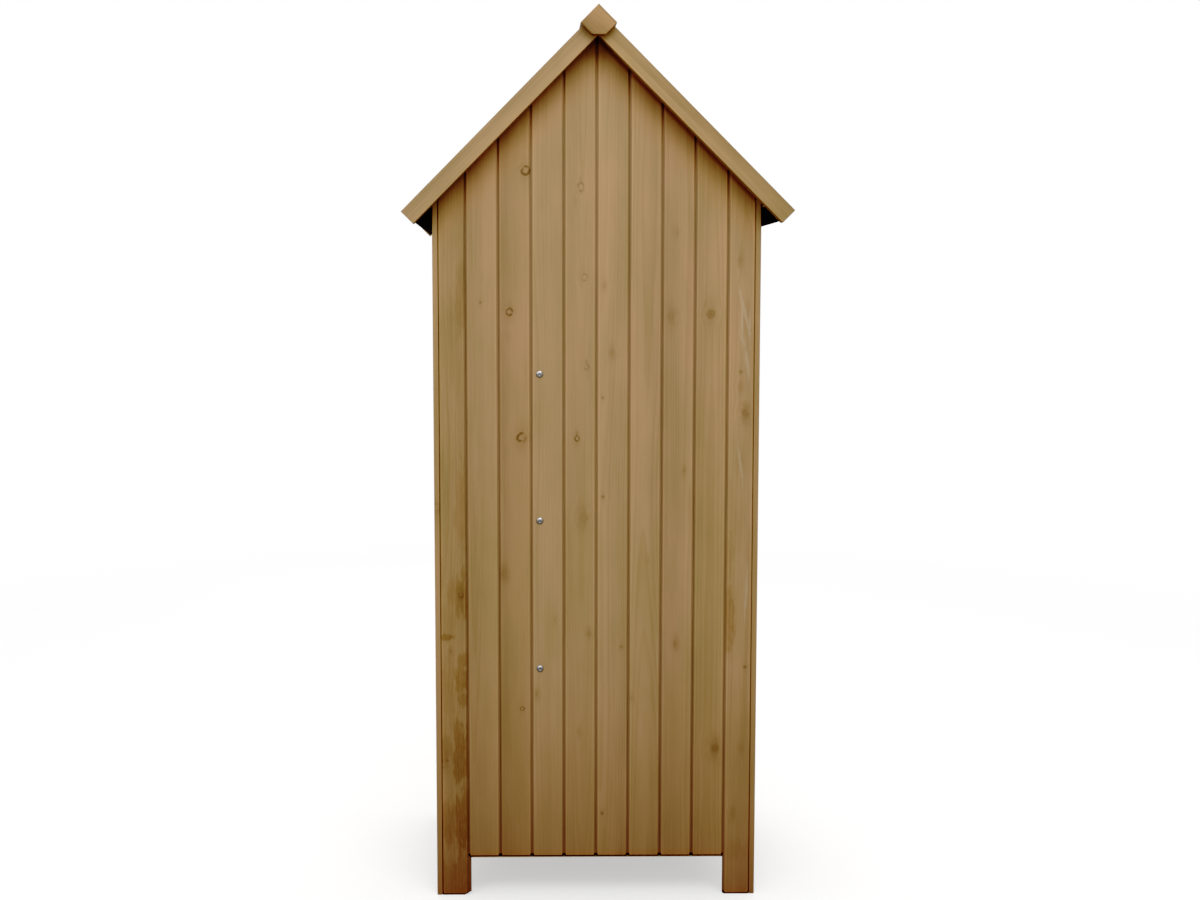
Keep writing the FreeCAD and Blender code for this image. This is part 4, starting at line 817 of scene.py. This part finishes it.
# --------------------------------------------------------------------------- roofing felt
def felt_material():
    mat = bpy.data.materials.new("mineral_felt")
    mat.use_nodes = True
    nt = mat.node_tree
    nt.nodes.clear()
    g = Graph(nt)
    tc = g.node("ShaderNodeTexCoord")
    p = Sock(g, tc.outputs["Object"])
    vor = g.node("ShaderNodeTexVoronoi", feature="F1")
    g.put(vor.inputs["Vector"], p)
    vor.inputs["Scale"].default_value = 720.0
    grain = Sock(g, vor.outputs["Distance"])
    rnd = Sock(g, vor.outputs["Color"])
    rx = g.split(rnd)
    blot = g.noise(p, 14.0, 4.0, 0.6)
    fleck = g.step(rx[0], 0.80, 0.97) * g.step(grain, 0.25, 0.55, 1.0, 0.0)
    base = g.mixc(g.step(blot, 0.35, 0.68), c4(0.011, 0.011, 0.012), c4(0.020, 0.020, 0.021))
    base = g.mixc(g.step(rx[1], 0.0, 1.0) * 0.5, base, c4(0.030, 0.030, 0.031))
    col = g.mixc(fleck * 0.55, base, c4(0.14, 0.14, 0.145))
    bs = g.node("ShaderNodeBsdfPrincipled")
    g.put(bs.inputs["Base Color"], col)
    g.put(bs.inputs["Roughness"], 0.82 + (rx[2] - 0.5) * 0.22)
    bs.inputs["Specular IOR Level"].default_value = 0.30
    bump = g.node("ShaderNodeBump")
    bump.inputs["Strength"].default_value = 0.9
    bump.inputs["Distance"].default_value = 0.0006
    g.put(bump.inputs["Height"], (1.0 - grain) * 0.7 + g.noise(p, 60.0, 2.0, 0.5) * 0.9)
    g.put(bs.inputs["Normal"], bump.outputs[0])
    mo = g.node("ShaderNodeOutputMaterial")
    g.put(mo.inputs["Surface"], bs.outputs[0])
    return mat


FELT = felt_material()
Y_ROOF = 0.2345
VERGE_S = (0.088, 0.170, 0.252, 0.334, 0.416, 0.495)
EAVE_Y = (-0.150, -0.050, 0.050, 0.150)
STRIP_Y = (-0.190, -0.095, 0.0, 0.095, 0.190)


def place(s, n, side, y):
    return Vector((side * (s - n) / R2, y, Z_RIDGE - (s + n) / R2))


def waves(seed):
    r = random.Random(seed)
    return [(r.uniform(8, 60), r.uniform(5, 45), r.uniform(0, 6.3), r.uniform(0.4, 1.0)) for _ in range(9)]


def wave(tab, u, v):
    t = sum(w * math.sin(a * u + b * v + p) for a, b, p, w in tab)
    return t / sum(w for *_, w in tab)


def felt_mesh(name, side, seed):
    """The sheet over one slope: pinned by its nails, it lifts a little between them, and turns down round the eave batten."""
    t = 0.0018
    tab = waves(seed)
    # centreline in (s, n), from the ridge down, round the eave and back under it
    path = []
    n_mid = 0.0031
    s_end = 0.5400
    s0 = 0.0034
    k = 92
    r = 0.0045
    for j in range(k + 1):
        path.append((s0 + (s_end - r - s0) * j / k, n_mid, "top"))
    for j in range(1, 6):
        a = math.pi / 2 * j / 6
        path.append((s_end - r + r * math.sin(a), n_mid + r - r * math.cos(a), "turn"))
    path.append((s_end, n_mid + r, "side"))
    n_end = 0.0341
    for j in range(1, 6):
        path.append((s_end, n_mid + r + (n_end - r - n_mid - r) * j / 5, "side"))
    for j in range(1, 6):
        a = math.pi / 2 * j / 6
        path.append((s_end - r + r * math.cos(a), n_end - r + r * math.sin(a), "turn"))
    path.append((s_end - r, n_end, "under"))
    for j in range(1, 6):
        path.append((s_end - r - (s_end - r - 0.4992) * j / 5, n_end, "under"))
    ny = 94
    ys = [-Y_ROOF + 2 * Y_ROOF * j / ny for j in range(ny + 1)]
    pins = [(s, y) for s in VERGE_S for y in (-0.225, 0.225)] + [(0.512, y) for y in EAVE_Y]
    pins += [(0.050, y) for y in STRIP_Y]

    bm = bmesh.new()
    outer, inner = [], []
    arc = 0.0
    for j, (s, n, kind) in enumerate(path):
        if j:
            arc += math.hypot(s - path[j - 1][0], n - path[j - 1][1])
        pa, pb = path[max(0, j - 1)], path[min(len(path) - 1, j + 1)]
        tx, ty = pb[0] - pa[0], pb[1] - pa[1]
        L = math.hypot(tx, ty)
        # outward normal of the path: up the slope's normal on top, so n gets smaller
        ox, oy = ty / L, -tx / L
        ro, ri = [], []
        for y in ys:
            near = min(math.hypot(s - ps, y - py) for ps, py in pins) if kind == "top" else 1.0
            hold = 1.0 - math.exp(-(near / 0.020) ** 2)
            up = (0.5 + 0.5 * wave(tab, arc * 1.0, y)) * 0.0009 * hold
            if kind == "top":
                up *= min(1.0, max(0.0, (s - 0.070) / 0.05))
                dimple = -0.00025 * math.exp(-(near / 0.007) ** 2)
            elif kind == "under":
                dimple = 0.0
                up *= 0.9
            else:
                dimple, up = 0.0, up * 0.35
            # the cut edges are not quite straight
            off = up + dimple
            edge = 0.0006 * wave(tab, y * 3.0, 1.7) if j == len(path) - 1 else 0.0
            so, no = s + ox * (t / 2 + off) + (edge if kind == "under" else 0), n + oy * (t / 2 + off)
            si, ni = s - ox * (t / 2 - off * 0.9) + (edge if kind == "under" else 0), n - oy * (t / 2 - off * 0.9)
            ro.append(bm.verts.new(place(so, no, side, y)))
            ri.append(bm.verts.new(place(si, ni, side, y)))
        outer.append(ro)
        inner.append(ri)
    J, K = len(path), len(ys)
    for j in range(J - 1):
        for q in range(K - 1):
            bm.faces.new((outer[j][q], outer[j][q + 1], outer[j + 1][q + 1], outer[j + 1][q]))
            bm.faces.new((inner[j][q], inner[j + 1][q], inner[j + 1][q + 1], inner[j][q + 1]))
    for j in range(J - 1):
        bm.faces.new((outer[j][0], outer[j + 1][0], inner[j + 1][0], inner[j][0]))
        bm.faces.new((outer[j][-1], inner[j][-1], inner[j + 1][-1], outer[j + 1][-1]))
    for q in range(K - 1):
        bm.faces.new((outer[0][q], inner[0][q], inner[0][q + 1], outer[0][q + 1]))
        bm.faces.new((outer[-1][q], outer[-1][q + 1], inner[-1][q + 1], inner[-1][q]))
    bmesh.ops.recalc_face_normals(bm, faces=bm.faces)
    me = bpy.data.meshes.new(name)
    bm.to_mesh(me)
    bm.free()
    for p in me.polygons:
        p.use_smooth = True
    ob = bpy.data.objects.new(name, me)
    bpy.context.scene.collection.objects.link(ob)
    me.materials.append(FELT)
    es = ob.modifiers.new("edges", "EDGE_SPLIT")
    es.split_angle = math.radians(50)
    return ob, arc


def strip_mesh(name, seed):
    t = 0.0018
    tab = waves(seed)
    ny = 120
    ys = [-Y_ROOF + 2 * Y_ROOF * j / ny for j in range(ny + 1)]
    # across the strip: signed distance from the fold, left slope negative
    cols = [-0.0750 + 0.0750 * j / 16 for j in range(16)] + [0.0] + [0.0750 * j / 16 for j in range(1, 17)]
    bm = bmesh.new()
    outer, inner = [], []
    rr = 0.0045
    for c in cols:
        ro, ri = [], []
        for y in ys:
            side = 1 if c >= 0 else -1
            s = abs(c)
            wv = 0.0011 * wave(tab, y * 2.2, 0.3 if side > 0 else 2.1) if s > 0.06 else 0.0
            near = min(math.hypot(s - 0.050, y - py) for py in STRIP_Y)
            up = (0.5 + 0.5 * wave(tab, c * 2.0, y)) * 0.0004 * (1 - math.exp(-(near / 0.02) ** 2))
            up += -0.0002 * math.exp(-(near / 0.007) ** 2)
            # the fold over the ridge is rounded, not sharp
            e = max(0.0, rr - s)
            drop = (e * e) / (2 * rr) * 1.0 if s < rr else 0.0
            n_out, n_in = 0.0006 - up + drop * 0.6, 0.0021 - up + drop * 0.3
            ss = s + wv
            if s == 0.0:
                po = place(n_out, n_out, 1, y)
                pi_ = place(n_in, n_in, 1, y)
            else:
                po, pi_ = place(max(ss, n_out), n_out, side, y), place(max(ss, n_in), n_in, side, y)
            ro.append(bm.verts.new(po))
            ri.append(bm.verts.new(pi_))
        outer.append(ro)
        inner.append(ri)
    J, K = len(cols), len(ys)
    for j in range(J - 1):
        for q in range(K - 1):
            bm.faces.new((outer[j][q], outer[j][q + 1], outer[j + 1][q + 1], outer[j + 1][q]))
            bm.faces.new((inner[j][q], inner[j + 1][q], inner[j + 1][q + 1], inner[j][q + 1]))
        bm.faces.new((outer[j][0], outer[j + 1][0], inner[j + 1][0], inner[j][0]))
        bm.faces.new((outer[j][-1], inner[j][-1], inner[j + 1][-1], outer[j + 1][-1]))
    for q in range(K - 1):
        bm.faces.new((outer[0][q], inner[0][q], inner[0][q + 1], outer[0][q + 1]))
        bm.faces.new((outer[-1][q], outer[-1][q + 1], inner[-1][q + 1], inner[-1][q]))
    bmesh.ops.recalc_face_normals(bm, faces=bm.faces)
    me = bpy.data.meshes.new(name)
    bm.to_mesh(me)
    bm.free()
    for p in me.polygons:
        p.use_smooth = True
    ob = bpy.data.objects.new(name, me)
    bpy.context.scene.collection.objects.link(ob)
    me.materials.append(FELT)
    es = ob.modifiers.new("edges", "EDGE_SPLIT")
    es.split_angle = math.radians(50)
    return ob


for nm, side, sd in (("left", -1, 5), ("right", 1, 9)):
    ob, arc = felt_mesh("felt_sheet_" + nm, side, sd)
    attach(ob, "cabinet")
    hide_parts("roof_felt_" + nm)
ob = strip_mesh("felt_ridge_strip", 14)
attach(ob, "cabinet")
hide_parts("ridge_felt_strip")


# --------------------------------------------------------------------------- floor, light, camera
def floor():
    me = bpy.data.meshes.new("studio_floor")
    s = 40.0
    me.from_pydata([(-s, -s, 0), (s, -s, 0), (s, s, 0), (-s, s, 0)], [], [(0, 1, 2, 3)])
    ob = bpy.data.objects.new("studio_floor", me)
    bpy.context.scene.collection.objects.link(ob)
    mat = bpy.data.materials.new("pale_floor")
    mat.use_nodes = True
    nt = mat.node_tree
    nt.nodes.clear()
    g = Graph(nt)
    tc = g.node("ShaderNodeTexCoord")
    p = Sock(g, tc.outputs["Object"])
    lp = g.node("ShaderNodeLightPath")
    cam_ray = Sock(g, lp.outputs["Is Camera Ray"])
    glo_ray = Sock(g, lp.outputs["Is Glossy Ray"])
    # seen as near white, but it throws only part of that back up at the cabinet
    v = g.step(g.noise(p, 3.0, 3.0, 0.5), 0.2, 0.8, 0.90, 0.92) * (cam_ray * 0.64 + 0.36 - glo_ray * 0.10)
    bs = g.node("ShaderNodeBsdfPrincipled")
    g.put(bs.inputs["Base Color"], g.xyz(v, v, v))
    bs.inputs["Roughness"].default_value = 0.9
    bs.inputs["Specular IOR Level"].default_value = 0.1
    em = g.node("ShaderNodeEmission")
    em.inputs["Color"].default_value = (1, 1, 1, 1)
    far = g.step(g.vm("LENGTH", p, out="Value"), 0.8, 4.0, 0.50, 1.0)
    mx = g.node("ShaderNodeMixShader")
    g.put(mx.inputs[0], far * cam_ray)
    g.put(mx.inputs[1], bs.outputs[0])
    g.put(mx.inputs[2], em.outputs[0])
    # from below, the eye looks through it
    geo = g.node("ShaderNodeNewGeometry")
    clear = g.node("ShaderNodeBsdfTransparent")
    m2 = g.node("ShaderNodeMixShader")
    g.put(m2.inputs[0], Sock(g, geo.outputs["Backfacing"]) * cam_ray)
    g.put(m2.inputs[1], mx.outputs[0])
    g.put(m2.inputs[2], clear.outputs[0])
    mo = g.node("ShaderNodeOutputMaterial")
    g.put(mo.inputs["Surface"], m2.outputs[0])
    me.materials.append(mat)
    ob.location = (0, 0, -0.0005)
    return ob


floor()


def light(name, kind, loc, target, energy, size=1.0, size_y=None, color=(1, 1, 1), angle=None):
    ld = bpy.data.lights.new(name, kind)
    ld.energy = energy
    ld.color = color
    if kind == "AREA":
        ld.shape = "RECTANGLE" if size_y else "SQUARE"
        ld.size = size
        if size_y:
            ld.size_y = size_y
    if kind == "SUN":
        ld.angle = angle
    ob = bpy.data.objects.new(name, ld)
    bpy.context.scene.collection.objects.link(ob)
    ob.location = loc
    ob.rotation_mode = "QUATERNION"
    ob.rotation_quaternion = (Vector(target) - Vector(loc)).to_track_quat("-Z", "Y")
    return ob


light("rear_softbox", "AREA", (-0.30, 1.95, 3.35), (0.0, 0.2, 1.15), 41.0, 2.3, 1.6)
light("rear_fill", "AREA", (2.3, 2.4, 2.7), (0.0, 0.2, 1.0), 12.0, 1.6)
light("front_softbox", "AREA", (0.30, -1.95, 3.35), (0.0, -0.2, 1.15), 36.0, 2.3, 1.6)
light("front_low", "AREA", (0.5, -3.1, 1.25), (0.0, 0.0, 0.8), 9.0, 1.8)
light("front_fill", "AREA", (-2.3, -2.4, 2.7), (0.0, -0.2, 1.0), 12.0, 1.6)
light("left_softbox", "AREA", (2.9, 0.2, 2.2), (0.0, 0.0, 1.1), 14.0, 1.5)
light("right_softbox", "AREA", (-2.9, -0.2, 2.2), (0.0, 0.0, 1.1), 14.0, 1.5)

world = bpy.data.worlds.new("studio")
bpy.context.scene.world = world
world.use_nodes = True
wt = world.node_tree
wt.nodes.clear()
g = Graph(wt)
lp = g.node("ShaderNodeLightPath")
bg = g.node("ShaderNodeBackground")
bg.inputs["Color"].default_value = (0.975, 0.98, 0.97, 1.0)
sky = g.node("ShaderNodeTexCoord")
up_ = g.split(sky.outputs["Generated"])[2]
glo = Sock(g, lp.outputs["Is Glossy Ray"])
g.put(bg.inputs["Strength"], g.mixf(glo, 0.66, g.step(up_, 0.0, 0.75, 0.34, 0.95)))
bw = g.node("ShaderNodeBackground")
bw.inputs["Color"].default_value = (1.0, 1.0, 1.0, 1.0)
bw.inputs["Strength"].default_value = 1.0
mx = g.node("ShaderNodeMixShader")
wo = g.node("ShaderNodeOutputWorld")
g.put(mx.inputs[0], lp.outputs["Is Camera Ray"])
g.put(mx.inputs[1], bg.outputs[0])
g.put(mx.inputs[2], bw.outputs[0])
g.put(wo.inputs["Surface"], mx.outputs[0])

cam_d = bpy.data.cameras.new("camera")
cam = bpy.data.objects.new("camera", cam_d)
bpy.context.scene.collection.objects.link(cam)
cam_d.sensor_fit = "HORIZONTAL"
cam_d.sensor_width = 36.0
cam_d.lens = CAM["f"] * 36.0 / 1200.0
cam_d.shift_x = -CAM["sx"] / 1200.0
cam_d.shift_y = CAM["sy"] / 1200.0
right, up, fwd = (Vector(M_CAM[k]) for k in range(3))
rot = Matrix((right, up, -fwd)).transposed().to_4x4()
cam.matrix_world = Matrix.Translation(Vector(CAM["pos"])) @ rot
cam_d.clip_start, cam_d.clip_end = 0.05, 200.0
bpy.context.scene.camera = cam

vs = bpy.context.scene.view_settings
vs.view_transform = "Standard"
vs.look = "None"
vs.exposure = 0.0
vs.gamma = 1.0
# the print's tones: straight in the lights, with a firmer toe in the shadows
vs.use_curve_mapping = True


def lin(v):
    v /= 255.0
    return v / 12.92 if v <= 0.04045 else ((v + 0.055) / 1.055) ** 2.4


cm = vs.curve_mapping
cv = cm.curves[3]
for x, y in ((45, 7), (60, 20), (75, 46), (92, 79), (100, 93), (110, 106), (125, 124), (140, 140), (165, 165), (210, 210)):
    cv.points.new(lin(x), lin(y))
for q in cv.points:
    q.handle_type = "AUTO_CLAMPED"
cm.update()
